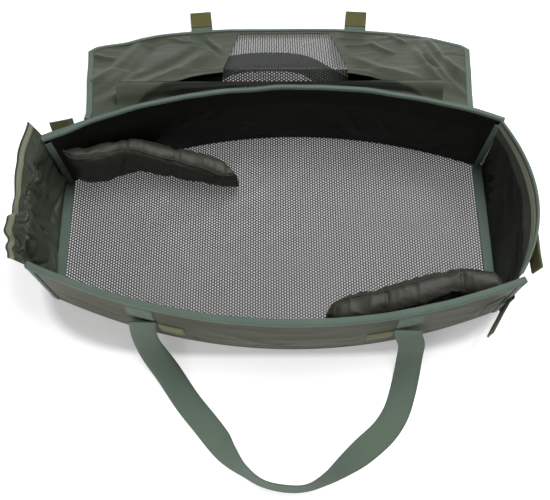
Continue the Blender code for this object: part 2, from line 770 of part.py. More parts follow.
# The fold behind the wall turns about the lid's inner face, the ridge about its outer face
FOLD_AXIS = flat_lid_point(0.0, LID_UPPER, -LID_THICKNESS / 2)
RIDGE_AXIS = flat_lid_point(0.0, LID_UPPER + LID_MIDDLE, LID_THICKNESS / 2)
UPPER_TURN = turn_about(HINGE, -LID_SWING)
MIDDLE_TURN = UPPER_TURN @ turn_about(FOLD_AXIS, FOLD_ANGLE)
OUTER_TURN = MIDDLE_TURN @ turn_about(RIDGE_AXIS, -RIDGE_ANGLE)
OUTER_SLOPE = math.radians(180.0 - LID_SWING + FOLD_ANGLE - RIDGE_ANGLE)
FOLD_REST = UPPER_TURN @ FOLD_AXIS
RIDGE_REST = MIDDLE_TURN @ RIDGE_AXIS
WINDOW_X = LID_CENTRE_X + WINDOW_SHIFT


def lid_grid(turn, rows, offset):
    return [[turn @ flat_lid_point(x, t, offset) for x, t in row] for row in rows]


def lid_cloth(name, turn, rows, pivot, is_open=None):
    half = LID_THICKNESS / 2
    lattice(name, "lid_nylon", lid_grid(turn, rows, -half), lid_grid(turn, rows, half), is_open, pivot)


def lid_net(strip, turn, start, end, halves, pivot):
    """Net panel in the window. halves are the window's half widths at start and end."""
    half = LID_NET_THICKNESS / 2
    gaps = WINDOW_GAPS_LONG[strip]
    rows = [start + GAP, *gap_lines(start + WINDOW_MARGIN, end - WINDOW_MARGIN, gaps, WINDOW_BAR), end - GAP]
    margin = WINDOW_MARGIN / halves[0]
    bar = WINDOW_BAR / halves[0]
    shares = [-1.0, *gap_lines(margin - 1.0, 1.0 - margin, WINDOW_GAPS_WIDE, bar), 1.0]

    def place(t, share):
        width = halves[0] + (halves[1] - halves[0]) * (t - start) / (end - start) - GAP
        return (WINDOW_X + share * width, t)

    grid = [[place(t, share) for share in shares] for t in rows]
    lattice(f"lid_{strip}_net", "net", lid_grid(turn, grid, -half), lid_grid(turn, grid, half), is_gap, pivot)


def make_lid_strip(strip, turn, start, end, halves, window, pivot):
    """Part of the lid between two folds: cloth on both sides of the window, and the window's net."""
    for side, sign in END_SIGN.items():
        rows = []
        for t in (start + GAP, end - GAP):
            share = (t - start) / (end - start)
            half = halves[0] + (halves[1] - halves[0]) * share
            opening = window[0] + (window[1] - window[0]) * share
            rows.append([(WINDOW_X + sign * opening, t), (LID_CENTRE_X + sign * half, t)])
        lid_cloth(f"lid_{strip}_cloth_{side}", turn, rows, pivot)
    lid_net(strip, turn, start, end, window, pivot)


def free_edge(x):
    """Length of the outer panel at x, from the ridge to the lid's free edge."""
    return LID_OUTER - LID_EDGE_BOW * abs((x - LID_CENTRE_X) / LID_HALF_EDGE) ** 3


def rear_reach(x):
    """Length of the outer panel's rear wings at x, from the ridge back to just short of the wall."""
    clear = half_depth(x) + TAPE + LID_REAR_CLEARANCE
    return (RIDGE_REST.y - clear) / math.cos(OUTER_SLOPE)


def outer_panel_rows():
    """Outline grid of the outer panel as (x, distance from the ridge) points."""
    tab_outer = LID_TAB_X + WEBBING_WIDTH / 2
    tab_inner = LID_TAB_X - WEBBING_WIDTH / 2
    corner = LID_OUTER - LID_EDGE_BOW
    reach = rear_reach(LID_CENTRE_X + LID_HALF_REAR)
    side_slope = (LID_HALF_EDGE - LID_HALF_REAR) / (corner + reach)

    def xs(side, inner, window):
        left = [-side, -(side + inner) / 2, -inner, -min(tab_outer, inner), -min(tab_inner, inner)]
        middle = [WINDOW_SHIFT - window, WINDOW_SHIFT, WINDOW_SHIFT + window]
        return [LID_CENTRE_X + x for x in [*left, *middle, *[-x for x in reversed(left)]]]

    ridge_side = LID_HALF_EDGE - side_slope * corner
    ridge = [(x, GAP) for x in xs(ridge_side, LID_HALF_RIDGE, WINDOW_HALF_RIDGE)]
    rear = [(x, -rear_reach(x)) for x in xs(LID_HALF_REAR, LID_REAR_INNER, WINDOW_HALF_RIDGE)]
    waist = [((a[0] + b[0]) / 2, (a[1] + b[1]) / 2) for a, b in zip(rear, ridge)]
    edge = [(x, free_edge(x)) for x in xs(LID_HALF_EDGE, LID_HALF_RIDGE, WINDOW_HALF_EDGE)]
    hem = [(x, s - LID_HEM) for x, s in edge]
    hem[0] = (LID_CENTRE_X - LID_HALF_EDGE + side_slope * LID_HEM, hem[0][1])
    hem[-1] = (LID_CENTRE_X + LID_HALF_EDGE - side_slope * LID_HEM, hem[-1][1])
    return [rear, waist, ridge, hem, edge]


def make_outer_panel():
    start = LID_UPPER + LID_MIDDLE
    rows = [[(x, start + s) for x, s in row] for row in outer_panel_rows()]
    last = len(rows[0]) - 2

    def is_open(r, c):
        behind_ridge = r < 2 and 1 < c < last - 1
        in_window = r == 2 and c in (5, 6)
        return behind_ridge or in_window

    lid_cloth("lid_outer_cloth", OUTER_TURN, rows, RIDGE_REST, is_open)
    hem = free_edge(WINDOW_X + WINDOW_HALF_EDGE) - LID_HEM
    lid_net("outer", OUTER_TURN, start, start + hem, (WINDOW_HALF_RIDGE, WINDOW_HALF_EDGE), RIDGE_REST)
    make_lid_binding(rows)


def edge_normals(path):
    """Mitred outward vectors in the lid's plane for a path that runs round its edge."""
    sides = [(Vector(b) - Vector(a)).normalized() for a, b in zip(path, path[1:])]
    normals = [Vector((-d.y, d.x)) for d in sides]
    pairs = zip([normals[0], *normals], [*normals, normals[-1]])
    return [(a + b) / (1 + a.dot(b)) for a, b in pairs]


def make_lid_binding(rows):
    """Tape bound round the outer panel: down one side, along the free edge and up the other side."""
    path = [row[0] for row in rows] + rows[-1][1:-1] + [row[-1] for row in reversed(rows)]
    solid = OUTER_TURN.to_3x3()
    stations = []
    for (x, t), out in zip(path, edge_normals(path)):
        stations.append((OUTER_TURN @ flat_lid_point(x, t, 0.0), solid @ Vector((out.x, -out.y, 0.0)),
                         solid @ Z_AXIS))
    sweep("lid_edge_tape", "binding", stations,
          binding_section(LID_THICKNESS, LID_BINDING_LEG, LID_BINDING), pivot=RIDGE_REST)


def make_lid_root():
    """Fixed web between the bowed rear rim and the straight line on which the lid swings."""
    inner = TAPE + 2 * GAP
    outer_y = HINGE.y - LID_THICKNESS - 2 * GAP
    top = HINGE.z - LID_PIVOT_GAP
    columns = between(LID_CENTRE_X - LID_HALF_HINGE, LID_CENTRE_X + LID_HALF_HINGE, LID_ROOT_COLUMNS)
    rims = [Vector((x, half_depth(x) + inner, WALL_HEIGHT - LID_ROOT_THICKNESS)) for x in columns]
    hinges = [Vector((x, outer_y, top)) for x in columns]
    faces = [[[p - Z_AXIS * drop for p in row] for row in (rims, hinges)]
             for drop in (0.0, LID_ROOT_THICKNESS)]
    lattice("lid_root_web", "lid_nylon", *faces)


def make_tab(name, corner, along, across, out, pivot):
    """Webbing tab with a hook square on its inner face. along, across and out are its edge vectors."""
    slab(f"{name}_webbing", "webbing", corner, (along, across, out), pivot=pivot)
    root = along.normalized() * TAB_ROOT
    step = out.normalized()
    slab(f"{name}_hook", "hook", corner + root - step * (GAP + HOOK),
         (along - root, across, step * HOOK), pivot=pivot)


def lid_tab_frame(end):
    """Root middle, outward and sideways directions of a lid tab on the flat lid."""
    sign = END_SIGN[end]
    start = LID_UPPER + LID_MIDDLE
    inner_x = LID_CENTRE_X + sign * (LID_TAB_X - WEBBING_WIDTH / 2)
    outer_x = LID_CENTRE_X + sign * (LID_TAB_X + WEBBING_WIDTH / 2)
    inner = flat_lid_point(inner_x, start + free_edge(inner_x), -WEBBING / 2)
    outer = flat_lid_point(outer_x, start + free_edge(outer_x), -WEBBING / 2)
    across = (outer - inner).normalized() * sign
    out = Z_AXIS.cross(across) * -1
    root = (inner + outer) / 2 + out * (LID_BINDING + 2 * GAP)
    return root, out, across


def lid_tab_axis(end):
    """Point and direction at rest of the line on which a lid tab folds."""
    root, _, across = lid_tab_frame(end)
    return OUTER_TURN @ root, OUTER_TURN.to_3x3() @ across


def make_lid_tabs():
    for end in END_SIGN:
        root, out, across = lid_tab_frame(end)
        place, axis = lid_tab_axis(end)
        lay_flat = Matrix.Rotation(-OUTER_SLOPE, 3, axis) @ OUTER_TURN.to_3x3()
        solid = [lay_flat @ v for v in (out * LID_TAB_LENGTH, across * LID_TAB_WIDTH, Z_AXIS * WEBBING)]
        make_tab(f"lid_tab_{end}", place - solid[1] / 2, *solid, pivot=place)


# Short tabs at two corners

def rear_tab_frame():
    """Root, direction, width and outward vectors of the tab behind the rear wall's left end."""
    x = -REAR_TAB_X
    _, along, normal = wall_axes(REAR, x)
    spread = math.radians(REAR_TAB_SPREAD)
    direction = normal * math.sin(spread) - along * math.cos(spread)
    aside = normal * math.cos(spread) + along * math.sin(spread)
    tilt = math.radians(REAR_TAB_TILT)
    across = Z_AXIS * math.cos(tilt) + aside * math.sin(tilt)
    root = wall_point(REAR, x, REAR_TAB_BOTTOM, outer_face(x, REAR_TAB_BOTTOM) + GAP)
    return root, direction, across, direction.cross(across)


def wrap_tab_frame():
    """The tab is sewn on the right flap's outer face and points to the front corner."""
    face = PANEL_THICKNESS / 2 + GAP
    low = PANEL_HEIGHT + WRAP_TAB_RISE
    root = end_point("right", WRAP_TAB_Y, low, face)
    across = (end_point("right", WRAP_TAB_Y, low + TAB_WIDTH, face) - root).normalized()
    beside = end_point("right", WRAP_TAB_Y - WRAP_TAB_RISE, low, face) - root
    flat = (beside - across * beside.dot(across)).normalized()
    spread = math.radians(WRAP_TAB_SPREAD)
    direction = flat * math.cos(spread) + across.cross(flat) * math.sin(spread)
    return root, direction, across, across.cross(direction)


def hanging_tab_frame():
    _, along, normal = wall_axes(FRONT, WALL_END_X)
    root = wall_point(FRONT, WALL_END_X, HANGING_TAB_BOTTOM, TAPE + 2 * GAP) - along * GAP
    spread = math.radians(HANGING_TAB_SPREAD)
    direction = -along * math.cos(spread) + normal * math.sin(spread)
    return root, direction, Z_AXIS, Z_AXIS.cross(direction)


def make_corner_tabs():
    frames = {"rear_left_tab": (rear_tab_frame(), REAR_TAB_LENGTH),
              "wrap_tab": (wrap_tab_frame(), WRAP_TAB_LENGTH),
              "hanging_tab": (hanging_tab_frame(), HANGING_TAB_LENGTH)}
    for name, ((root, along, across, out), length) in frames.items():
        make_tab(name, root, along * length, across * TAB_WIDTH, out * WEBBING, pivot=root)


def main():
    make_base_net()
    for end in END_SIGN:
        make_base_tape(end)
        make_end_panel(end)
        make_end_flap(end)
        make_wing(end)
    for side in SIDE_NAME:
        make_wall(side)
        make_handle(side)
    make_wall_fittings()
    make_lid_root()
    make_lid_strip("upper", UPPER_TURN, 0.0, LID_UPPER, (LID_HALF_HINGE, LID_HALF_FOLD),
                   (WINDOW_HALF_HINGE, WINDOW_HALF_FOLD), HINGE)
    make_lid_strip("middle", MIDDLE_TURN, LID_UPPER, LID_UPPER + LID_MIDDLE,
                   (LID_HALF_FOLD, LID_HALF_RIDGE), (WINDOW_HALF_FOLD, WINDOW_HALF_RIDGE), FOLD_REST)
    make_outer_panel()
    make_lid_tabs()
    make_corner_tabs()


main()
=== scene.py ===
# %% [markdown]
# # A carp cradle
#
# A soft cradle in which a large fish lies on the bank: a net floor, two bowed padded walls,
# cloth ends that fold down, two padded wings, a lid with a net window and two webbing handles.
#
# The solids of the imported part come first. Every piece made here stands for one or more of them.

import json
import math

import bmesh
import bpy
import numpy as np
from mathutils import Matrix, Vector, noise
from mathutils.bvhtree import BVHTree


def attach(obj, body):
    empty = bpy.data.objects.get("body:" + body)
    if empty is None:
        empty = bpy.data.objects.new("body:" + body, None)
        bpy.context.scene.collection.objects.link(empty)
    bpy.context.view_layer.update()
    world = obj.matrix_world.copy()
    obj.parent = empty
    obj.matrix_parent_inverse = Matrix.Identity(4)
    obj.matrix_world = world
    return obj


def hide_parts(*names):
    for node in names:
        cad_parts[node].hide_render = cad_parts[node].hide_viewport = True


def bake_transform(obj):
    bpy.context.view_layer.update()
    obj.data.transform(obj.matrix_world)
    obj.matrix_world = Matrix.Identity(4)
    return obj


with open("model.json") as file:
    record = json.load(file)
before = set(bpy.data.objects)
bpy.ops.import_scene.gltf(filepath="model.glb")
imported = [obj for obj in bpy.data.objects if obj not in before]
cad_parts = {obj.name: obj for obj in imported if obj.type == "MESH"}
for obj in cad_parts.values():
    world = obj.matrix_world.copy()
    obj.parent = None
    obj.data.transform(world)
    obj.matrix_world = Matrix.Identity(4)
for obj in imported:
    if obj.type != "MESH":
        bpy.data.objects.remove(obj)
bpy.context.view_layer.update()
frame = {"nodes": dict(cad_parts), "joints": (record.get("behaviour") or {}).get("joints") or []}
joints = {joint["name"]: joint for joint in frame["joints"]}

# %% [markdown]
# ## The camera
#
# The camera stands in front of the cradle and looks steeply down. Its place and lens are those at
# which the corners of the rim and of the floor fall where the photograph has them.

# %% Camera
def add_object(name, data):
    """Put a new object with this data into the scene."""
    made = bpy.data.objects.new(name, data)
    bpy.context.scene.collection.objects.link(made)
    return made


IMAGE_WIDTH = 550
FOCAL_PIXELS = 720.1
CAMERA_PLACE = Vector((-0.0004, -0.5670, 1.3947))
YAW, PITCH, ROLL = (math.radians(angle) for angle in (0.104, 69.021, -0.249))

ahead = Vector((math.sin(YAW) * math.cos(PITCH), math.cos(YAW) * math.cos(PITCH), -math.sin(PITCH)))
level = Vector((math.cos(YAW), -math.sin(YAW), 0.0))
above = level.cross(ahead)
right = level * math.cos(ROLL) + above * math.sin(ROLL)
top = above * math.cos(ROLL) - level * math.sin(ROLL)

camera_data = bpy.data.cameras.new("camera")
camera = add_object("camera", camera_data)
camera.matrix_world = Matrix.Translation(CAMERA_PLACE) @ Matrix((right, top, -ahead)).transposed().to_4x4()
camera_data.lens = camera_data.sensor_width * FOCAL_PIXELS / IMAGE_WIDTH
bpy.context.scene.camera = camera
print("lens", round(camera_data.lens, 1), "mm")

# %% [markdown]
# ## Words for the finishes
#
# A finish is a tree of nodes. Sums and products of the numbers in it read better as Python than as
# a list of links, so `Number` wraps a socket and lets + - * / add the Math nodes. `Finish` holds one
# material and has one method, `node`, for every other kind of node.

# %% Words for shader trees
class Number:
    """A number on its way through a shader. Arithmetic on it adds Math nodes."""

    def __init__(self, finish, socket):
        self.finish = finish
        self.socket = socket

    def __add__(self, other):
        return self.finish.math("ADD", self, other)

    def __sub__(self, other):
        return self.finish.math("SUBTRACT", self, other)

    def __rsub__(self, other):
        return self.finish.math("SUBTRACT", other, self)

    def __mul__(self, other):
        return self.finish.math("MULTIPLY", self, other)

    def __truediv__(self, other):
        return self.finish.math("DIVIDE", self, other)

    def sine(self):
        return self.finish.math("SINE", self)

    def size(self):
        return self.finish.math("ABSOLUTE", self)

    __radd__ = __add__
    __rmul__ = __mul__


class Finish:
    """A material in the making: its tree, its shader and short ways to add nodes."""

    def __init__(self, name, **constants):
        self.material = bpy.data.materials.new(name)
        self.material.use_nodes = True
        self.tree = self.material.node_tree
        self.shader = self.tree.nodes["Principled BSDF"]
        for socket, value in constants.items():
            self.shader.inputs[socket.replace("_", " ")].default_value = value

    def plug(self, socket, value):
        source = value.socket if isinstance(value, Number) else value
        if isinstance(source, bpy.types.NodeSocket):
            self.tree.links.new(source, socket)
        else:
            socket.default_value = source

    def node(self, kind, settings=None, sockets=None):
        made = self.tree.nodes.new(kind)
        for name, value in (settings or {}).items():
            setattr(made, name, value)
        for key, value in (sockets or {}).items():
            self.plug(made.inputs[key], value)
        return made

    def math(self, operation, first, second=0.0):
        made = self.node("ShaderNodeMath", {"operation": operation}, {0: first, 1: second})
        return Number(self, made.outputs[0])

    def place(self, source="UV"):
        return self.node("ShaderNodeTexCoord").outputs[source]

    def stretched(self, vector, scale, turn=0.0):
        sockets = {"Vector": vector, "Scale": scale, "Rotation": (0.0, 0.0, turn)}
        return self.node("ShaderNodeMapping", None, sockets).outputs[0]

    def parts(self, vector):
        made = self.node("ShaderNodeSeparateXYZ", None, {0: vector})
        return [Number(self, socket) for socket in made.outputs]

    def cloud(self, vector, scale, detail=2.0):
        made = self.node("ShaderNodeTexNoise", None, {"Vector": vector, "Scale": scale, "Detail": detail})
        return Number(self, made.outputs[0])

    def between(self, factor, first, second):
        made = self.node("ShaderNodeMix", {"data_type": "RGBA"}, {0: factor, 6: first, 7: second})
        return made.outputs[2]

    def inside(self, x, y, centre, reach):
        """1 within a rounded rectangle, 0 outside it, with a soft edge."""
        rim, slope = 1.04, 5.0
        across, along = (x - centre[0]) / reach[0], (y - centre[1]) / reach[1]
        across, along = across * across, along * along
        margin = (rim - across * across - along * along) * slope
        return self.math("MINIMUM", self.math("MAXIMUM", margin), 1.0)

    def raised(self, height, distance, normal=None):
        sockets = {"Height": height, "Distance": distance, "Strength": 1.0}
        if normal is not None:
            sockets["Normal"] = normal
        return self.node("ShaderNodeBump", None, sockets).outputs[0]

    def finish(self, **links):
        for socket, value in links.items():
            self.plug(self.shader.inputs[socket.replace("_", " ")], value)
        return self.material


def shade(colour, factor):
    return (*[min(1.0, channel * factor) for channel in colour], 1.0)


# %% [markdown]
# ## Coated nylon
#
# The walls, the ends, the wings and the lid are thin nylon with a coating on the back. It has a fine
# plain weave, a satin shine and small creases that never quite lie down. The large folds are in the
# meshes. The weave and the smallest creases are here, on a UV map measured in metres, so that the
# threads follow the cloth.

# %% Nylon
WEAVE_PITCH = 0.0011
WEAVE_HEIGHT = 0.00005
CREASE_HEIGHT = 0.0009


def weave(finish, u, v, pitch_u, pitch_v):
    """Height of a plain weave: threads that pass over and under in turn."""
    return (u * (math.tau / pitch_u)).sine() * (v * (math.tau / pitch_v)).sine()


def nylon(name, colour, roughness, gloss, hollow=None):
    """Coated nylon. With a hollow colour, it turns to that colour, a painted shade, where the attribute of
    that name is 1.
    """
    finish = Finish(name, Specular_IOR_Level=gloss)
    uv = finish.place()
    u, v, _ = finish.parts(uv)
    threads = weave(finish, u, v, WEAVE_PITCH, WEAVE_PITCH)
    patches = finish.cloud(finish.stretched(uv, (7.0, 11.0, 1.0), 0.5), 1.0, 3.0)
    wear = finish.cloud(finish.stretched(uv, (60.0, 22.0, 1.0), 0.9), 1.0, 4.0)
    base = finish.between(patches * 0.8 + wear * 0.2, shade(colour, 0.72), shade(colour, 1.30))
    if hollow:
        # Painted shade: the colour turns to the dark one where the hollow attribute is 1.
        painted_shade_share = finish.node("ShaderNodeAttribute", {"attribute_name": "hollow"}).outputs["Fac"]
        base = finish.between(painted_shade_share, base, shade(hollow, 1.0))
    colour_out = finish.between(threads * 0.10 + 0.10, base, shade(colour, 0.6))
    small = finish.cloud(finish.stretched(uv, (26.0, 90.0, 1.0), 0.7), 1.0, 2.0)
    normal = finish.raised(small, CREASE_HEIGHT)
    normal = finish.raised(threads, WEAVE_HEIGHT, normal)
    return finish.finish(Base_Color=colour_out, Roughness=patches * 0.14 + (roughness - 0.07), Normal=normal)


outer_nylon = nylon("outer_nylon", (0.061, 0.063, 0.038), 0.50, 0.22)
lining_nylon = nylon("lining_nylon", (0.0056, 0.0060, 0.0034), 0.46, 0.12)
wing_nylon = nylon("wing_nylon", (0.047, 0.048, 0.036), 0.52, 0.32)
lid_nylon = nylon("lid_nylon", (0.055, 0.067, 0.042), 0.42, 0.34)
# The web's nylon is a little lighter than the lid's and turns near black in the hollow, a painted shade.
web_nylon = nylon("web_nylon", (0.062, 0.075, 0.048), 0.42, 0.34, hollow=(0.0075, 0.0085, 0.0050))
# Painted shade: a darker copy of the ends' nylon, for the right end panel, which is turned from the light.
panel_nylon = nylon("panel_nylon", (0.012, 0.013, 0.008), 0.40, 0.22)
flap_nylon = nylon("flap_nylon", (0.052, 0.062, 0.043), 0.42, 0.40)

# %% [markdown]
# ## Webbing and binding
#
# Webbing is woven thick and flat: coarse threads across, with a tight edge on each side. The binding
# round every edge is a thinner ribbed tape of the same grey-green yarn. Both patterns run with the
# strap, so U is the way along it and V the way across, in metres.

# %% Webbing and binding
YARN_PITCH = 0.0021
SELVEDGE = 0.0022
RIB_PITCH = 0.0015
STRAP_HALF = 0.025
TAB_HALF = 0.019


def webbing(name, colour, half_width):
    finish = Finish(name, Roughness=0.78, Sheen_Weight=0.05, Sheen_Roughness=0.6)
    uv = finish.place()
    u, v, _ = finish.parts(uv)
    threads = weave(finish, u, v, YARN_PITCH, YARN_PITCH * 1.6)
    edge = finish.math("GREATER_THAN", v.size(), half_width - SELVEDGE)
    tone = finish.cloud(finish.stretched(uv, (9.0, 14.0, 1.0)), 1.0, 3.0)
    fluff = finish.cloud(uv, 420.0, 2.0)
    base = finish.between(tone * 0.7 + fluff * 0.3, shade(colour, 0.80), shade(colour, 1.20))
    woven = finish.between(threads * 0.5 + 0.5, shade(colour, 0.66), base)
    edged = finish.between(edge * 0.5, woven, shade(colour, 0.70))
    normal = finish.raised(threads, 0.00016)
    normal = finish.raised(fluff, 0.00012, normal)
    return finish.finish(Base_Color=edged, Normal=normal)


def binding(name, colour):
    finish = Finish(name, Roughness=0.72, Sheen_Weight=0.04, Sheen_Roughness=0.6)
    uv = finish.place()
    u, v, _ = finish.parts(uv)
    ribs = (u * (math.tau / RIB_PITCH)).sine()
    tone = finish.cloud(finish.stretched(uv, (16.0, 30.0, 1.0)), 1.0, 3.0)
    base = finish.between(tone, shade(colour, 0.70), shade(colour, 1.30))
    ribbed = finish.between(ribs * 0.5 + 0.5, shade(colour, 0.74), base)
    pucker = finish.cloud(finish.stretched(uv, (150.0, 30.0, 1.0)), 1.0, 1.0)
    normal = finish.raised(pucker, 0.0010)
    normal = finish.raised(ribs, 0.00010, normal)
    return finish.finish(Base_Color=ribbed, Normal=normal)


green_webbing = webbing("green_webbing", (0.142, 0.198, 0.150), STRAP_HALF)
tab_webbing = webbing("tab_webbing", (0.130, 0.172, 0.136), TAB_HALF)
green_binding = binding("green_binding", (0.122, 0.176, 0.140))
dark_binding = binding("dark_binding", (0.040, 0.050, 0.038))

# %% [markdown]
# ## Hook, loop, net and thread
#
# Hook tape is a field of tiny stiff hooks in rows, loop tape a mat of fuzz. The net is a knitted
# polyester with smooth grey threads. Sewing thread is a shade lighter than the bound edges.

# %% Hook, loop, net and thread
def hook_tape(name, colour):
    finish = Finish(name, Roughness=0.62)
    uv = finish.place()
    u, v, _ = finish.parts(uv)
    rows = weave(finish, u, v, 0.0026, 0.0030)
    tone = finish.cloud(uv, 38.0, 3.0)
    base = finish.between(tone, shade(colour, 0.82), shade(colour, 1.20))
    dotted = finish.between(rows.size(), base, shade(colour, 1.45))
    return finish.finish(Base_Color=dotted, Normal=finish.raised(rows.size(), 0.0005))


def loop_tape(name, colour):
    finish = Finish(name, Roughness=0.92, Sheen_Weight=0.12, Sheen_Roughness=0.7)
    uv = finish.place()
    fuzz = finish.cloud(uv, 900.0, 4.0)
    tone = finish.cloud(uv, 60.0, 3.0)
    base = finish.between(tone * 0.5 + fuzz * 0.5, shade(colour, 0.62), shade(colour, 1.45))
    return finish.finish(Base_Color=base, Normal=finish.raised(fuzz, 0.0008))


def knitted(name, colour):
    finish = Finish(name, Roughness=0.55)
    place = finish.place("Object")
    tone = finish.cloud(place, 14.0, 3.0)
    strand = finish.cloud(place, 1300.0, 1.0)
    base = finish.between(tone * 0.6 + strand * 0.4, shade(colour, 0.70), shade(colour, 1.35))
    return finish.finish(Base_Color=base, Normal=finish.raised(strand, 0.0002))


def sewing_thread(name, colour):
    finish = Finish(name, Roughness=0.6)
    twist = finish.cloud(finish.place("Object"), 2200.0, 1.0)
    return finish.finish(Base_Color=finish.between(twist, shade(colour, 0.8), shade(colour, 1.2)))


khaki_hook = hook_tape("khaki_hook", (0.105, 0.104, 0.030))
pale_hook = hook_tape("pale_hook", (0.230, 0.250, 0.165))
khaki_loop = loop_tape("khaki_loop", (0.150, 0.152, 0.062))
grey_loop = loop_tape("grey_loop", (0.120, 0.140, 0.105))
grey_net = knitted("grey_net", (0.027, 0.026, 0.026))
green_thread = sewing_thread("green_thread", (0.150, 0.200, 0.165))

# %% [markdown]
# ## Meshes in rows
#
# Nearly all cloth here is a grid of points: rows along the piece and columns across it. `shell` makes
# a closed sheet from a near grid and a far grid, and writes a UV map in metres, measured along the
# rows and columns. `band` carries a flat or folded section along a line, as a tape or a strap.

# %% Mesh helpers
SHARP_ANGLE = math.radians(50.0)


def smoothstep(t):
    t = np.clip(t, 0.0, 1.0)
    return t * t * (3.0 - 2.0 * t)


def lengths(points):
    """Distance along a line of points, from its start."""
    steps = np.linalg.norm(np.diff(points, axis=0), axis=1)
    return np.concatenate([[0.0], np.cumsum(steps)])


def make_object(name, vertices, faces, uvs, slots, materials):
    """Object from points, faces, a UV pair for each corner and a material slot for each face."""
    mesh = bpy.data.meshes.new(name)
    mesh.from_pydata([tuple(p) for p in vertices], [], faces)
    layer = mesh.uv_layers.new(name="Weave")
    layer.data.foreach_set("uv", np.array(uvs, dtype=np.float32).ravel())
    for material in materials:
        mesh.materials.append(material)
    mesh.polygons.foreach_set("material_index", slots)
    bm = bmesh.new()
    bm.from_mesh(mesh)
    bmesh.ops.remove_doubles(bm, verts=bm.verts, dist=1e-7)
    bmesh.ops.recalc_face_normals(bm, faces=bm.faces)
    bm.to_mesh(mesh)
    bm.free()
    mesh.shade_smooth()
    mesh.set_sharp_from_angle(angle=SHARP_ANGLE)
    return add_object(name, mesh)


def shell(name, near, far, near_material, far_material=None, is_open=None, uv=None):
    """Closed sheet between two grids of points, each rows by columns by 3."""
    rows, columns = near.shape[:2]
    if uv is None:
        uv = np.meshgrid(lengths(near[rows // 2]), lengths(near[:, columns // 2]))
    along, across = uv
    vertices = np.concatenate([near.reshape(-1, 3), far.reshape(-1, 3)])
    other = rows * columns
    faces, uvs, slots = [], [], []

    def corner(side, r, c):
        return side * other + r * columns + c

    def add(corners, slot):
        faces.append([corner(*place) for place in corners])
        uvs.extend((along[r, c], across[r, c]) for _, r, c in corners)
        slots.append(slot)

    cells = {(r, c) for r in range(rows - 1) for c in range(columns - 1) if not (is_open and is_open(r, c))}
    for r, c in sorted(cells):
        ring = [(r, c), (r, c + 1), (r + 1, c + 1), (r + 1, c)]
        add([(0, *place) for place in ring], 0)
        add([(1, *place) for place in reversed(ring)], 1 if far_material else 0)
        sides = [(r - 1, c), (r, c + 1), (r + 1, c), (r, c - 1)]
        for index, beside in enumerate(sides):
            if beside not in cells:
                a, b = ring[index], ring[(index + 1) % 4]
                add([(0, *b), (0, *a), (1, *a), (1, *b)], 0)
    materials = [near_material] + ([far_material] if far_material else [])
    return make_object(name, vertices, faces, uvs, slots, materials)


def band(name, centres, first, second, section, material, sizes=None):
    """Section of (p, q) points carried along a line. first and second are its axes at each station.

    sizes(i) gives the section at station i where it isn't the same all along.
    """
    count = len(section)
    stations = len(centres)
    along = lengths(centres)
    vertices, faces, uvs = [], [], []
    for i in range(stations):
        for p, q in (sizes(i) if sizes else section):
            vertices.append(centres[i] + first[i] * p + second[i] * q)
    for i in range(stations - 1):
        for k in range(count):
            j = (k + 1) % count
            faces.append([i * count + k, i * count + j, (i + 1) * count + j, (i + 1) * count + k])
            uvs += [(along[i], section[k][0]), (along[i], section[j][0]),
                    (along[i + 1], section[j][0]), (along[i + 1], section[k][0])]
    for i, order in ((0, -1), (stations - 1, 1)):
        ring = list(range(count))[::order]
        faces.append([i * count + k for k in ring])
        uvs += [(along[i], section[k][0]) for k in ring]
    return make_object(name, vertices, faces, uvs, [0] * len(faces), [material])


def read_points(mesh):
    flat = np.empty(len(mesh.vertices) * 3)
    mesh.vertices.foreach_get("co", flat)
    return flat.reshape(-1, 3)


def evaluated(made):
    """Plain mesh of an object with its modifiers applied."""
    depsgraph = bpy.context.evaluated_depsgraph_get()
    return bpy.data.meshes.new_from_object(made.evaluated_get(depsgraph))


def dress(piece, body, *nodes):
    """The piece stands for its solids, which it hides, and moves with the body."""
    if nodes:
        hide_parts(*nodes)
    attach(piece, body)


# %% [markdown]
# ## Meshes that grow from points
#
# Two things here repeat thousands of times, the holes of a net and the stitches of a seam. Geometry
# Nodes make such copies quickly. `geometry_tree` builds a tree from a table of its nodes and a list of
# its links, and `grown` runs it over a few points and edges and keeps the mesh that comes out.

# %% Trees that grow meshes
def geometry_tree(name, inputs, output, table, links):
    """Node tree from {label: (kind, settings, socket values)} and links between label.socket words."""
    tree = bpy.data.node_groups.new(name, "GeometryNodeTree")
    for label, kind in inputs.items():
        tree.interface.new_socket(label, in_out="INPUT", socket_type=f"NodeSocket{kind}")
    tree.interface.new_socket(output, in_out="OUTPUT", socket_type="NodeSocketGeometry")
    nodes = {"given": tree.nodes.new("NodeGroupInput"), "result": tree.nodes.new("NodeGroupOutput")}
    for label, (kind, settings, values) in table.items():
        nodes[label] = tree.nodes.new(f"GeometryNode{kind}")
        for key, value in settings.items():
            setattr(nodes[label], key, value)
        for socket, value in values.items():
            nodes[label].inputs[socket].default_value = value
    for source, target in links:
        giver, outlet = source.split(".")
        taker, inlet = target.split(".")
        tree.links.new(nodes[giver].outputs[outlet], nodes[taker].inputs[inlet])
    return tree


def grown(name, points, edges, tree, values):
    """Mesh that a tree makes from points and edges, with these values in its sockets."""
    mesh = bpy.data.meshes.new(name)
    mesh.from_pydata(points, edges, [])
    seed = add_object(name, mesh)
    modifier = seed.modifiers.new(tree.name, "NODES")
    modifier.node_group = tree
    for item in tree.interface.items_tree:
        if item.in_out == "INPUT" and item.name in values:
            modifier[item.identifier] = values[item.name]
    made = evaluated(seed)
    bpy.data.objects.remove(seed)
    return made


# %% [markdown]
# ## Rows of stitches
#
# Every tape, patch and strap end is held by lock stitches. They are far too many to place by hand, so
# a short rod of thread is put at equal steps along lines drawn on the cloth. The lines of one body
# are kept in one list, and one mesh is made of them at the end.

# %% Stitches
STITCH_STEP = 0.0034
STITCH_SHARE = 0.72
THREAD_RADIUS = 0.00034
stitch_lines = {}


def stitch(body, line):
    """Remember a line of points that is sewn on a body."""
    stitch_lines.setdefault(body, []).append(np.asarray(line))


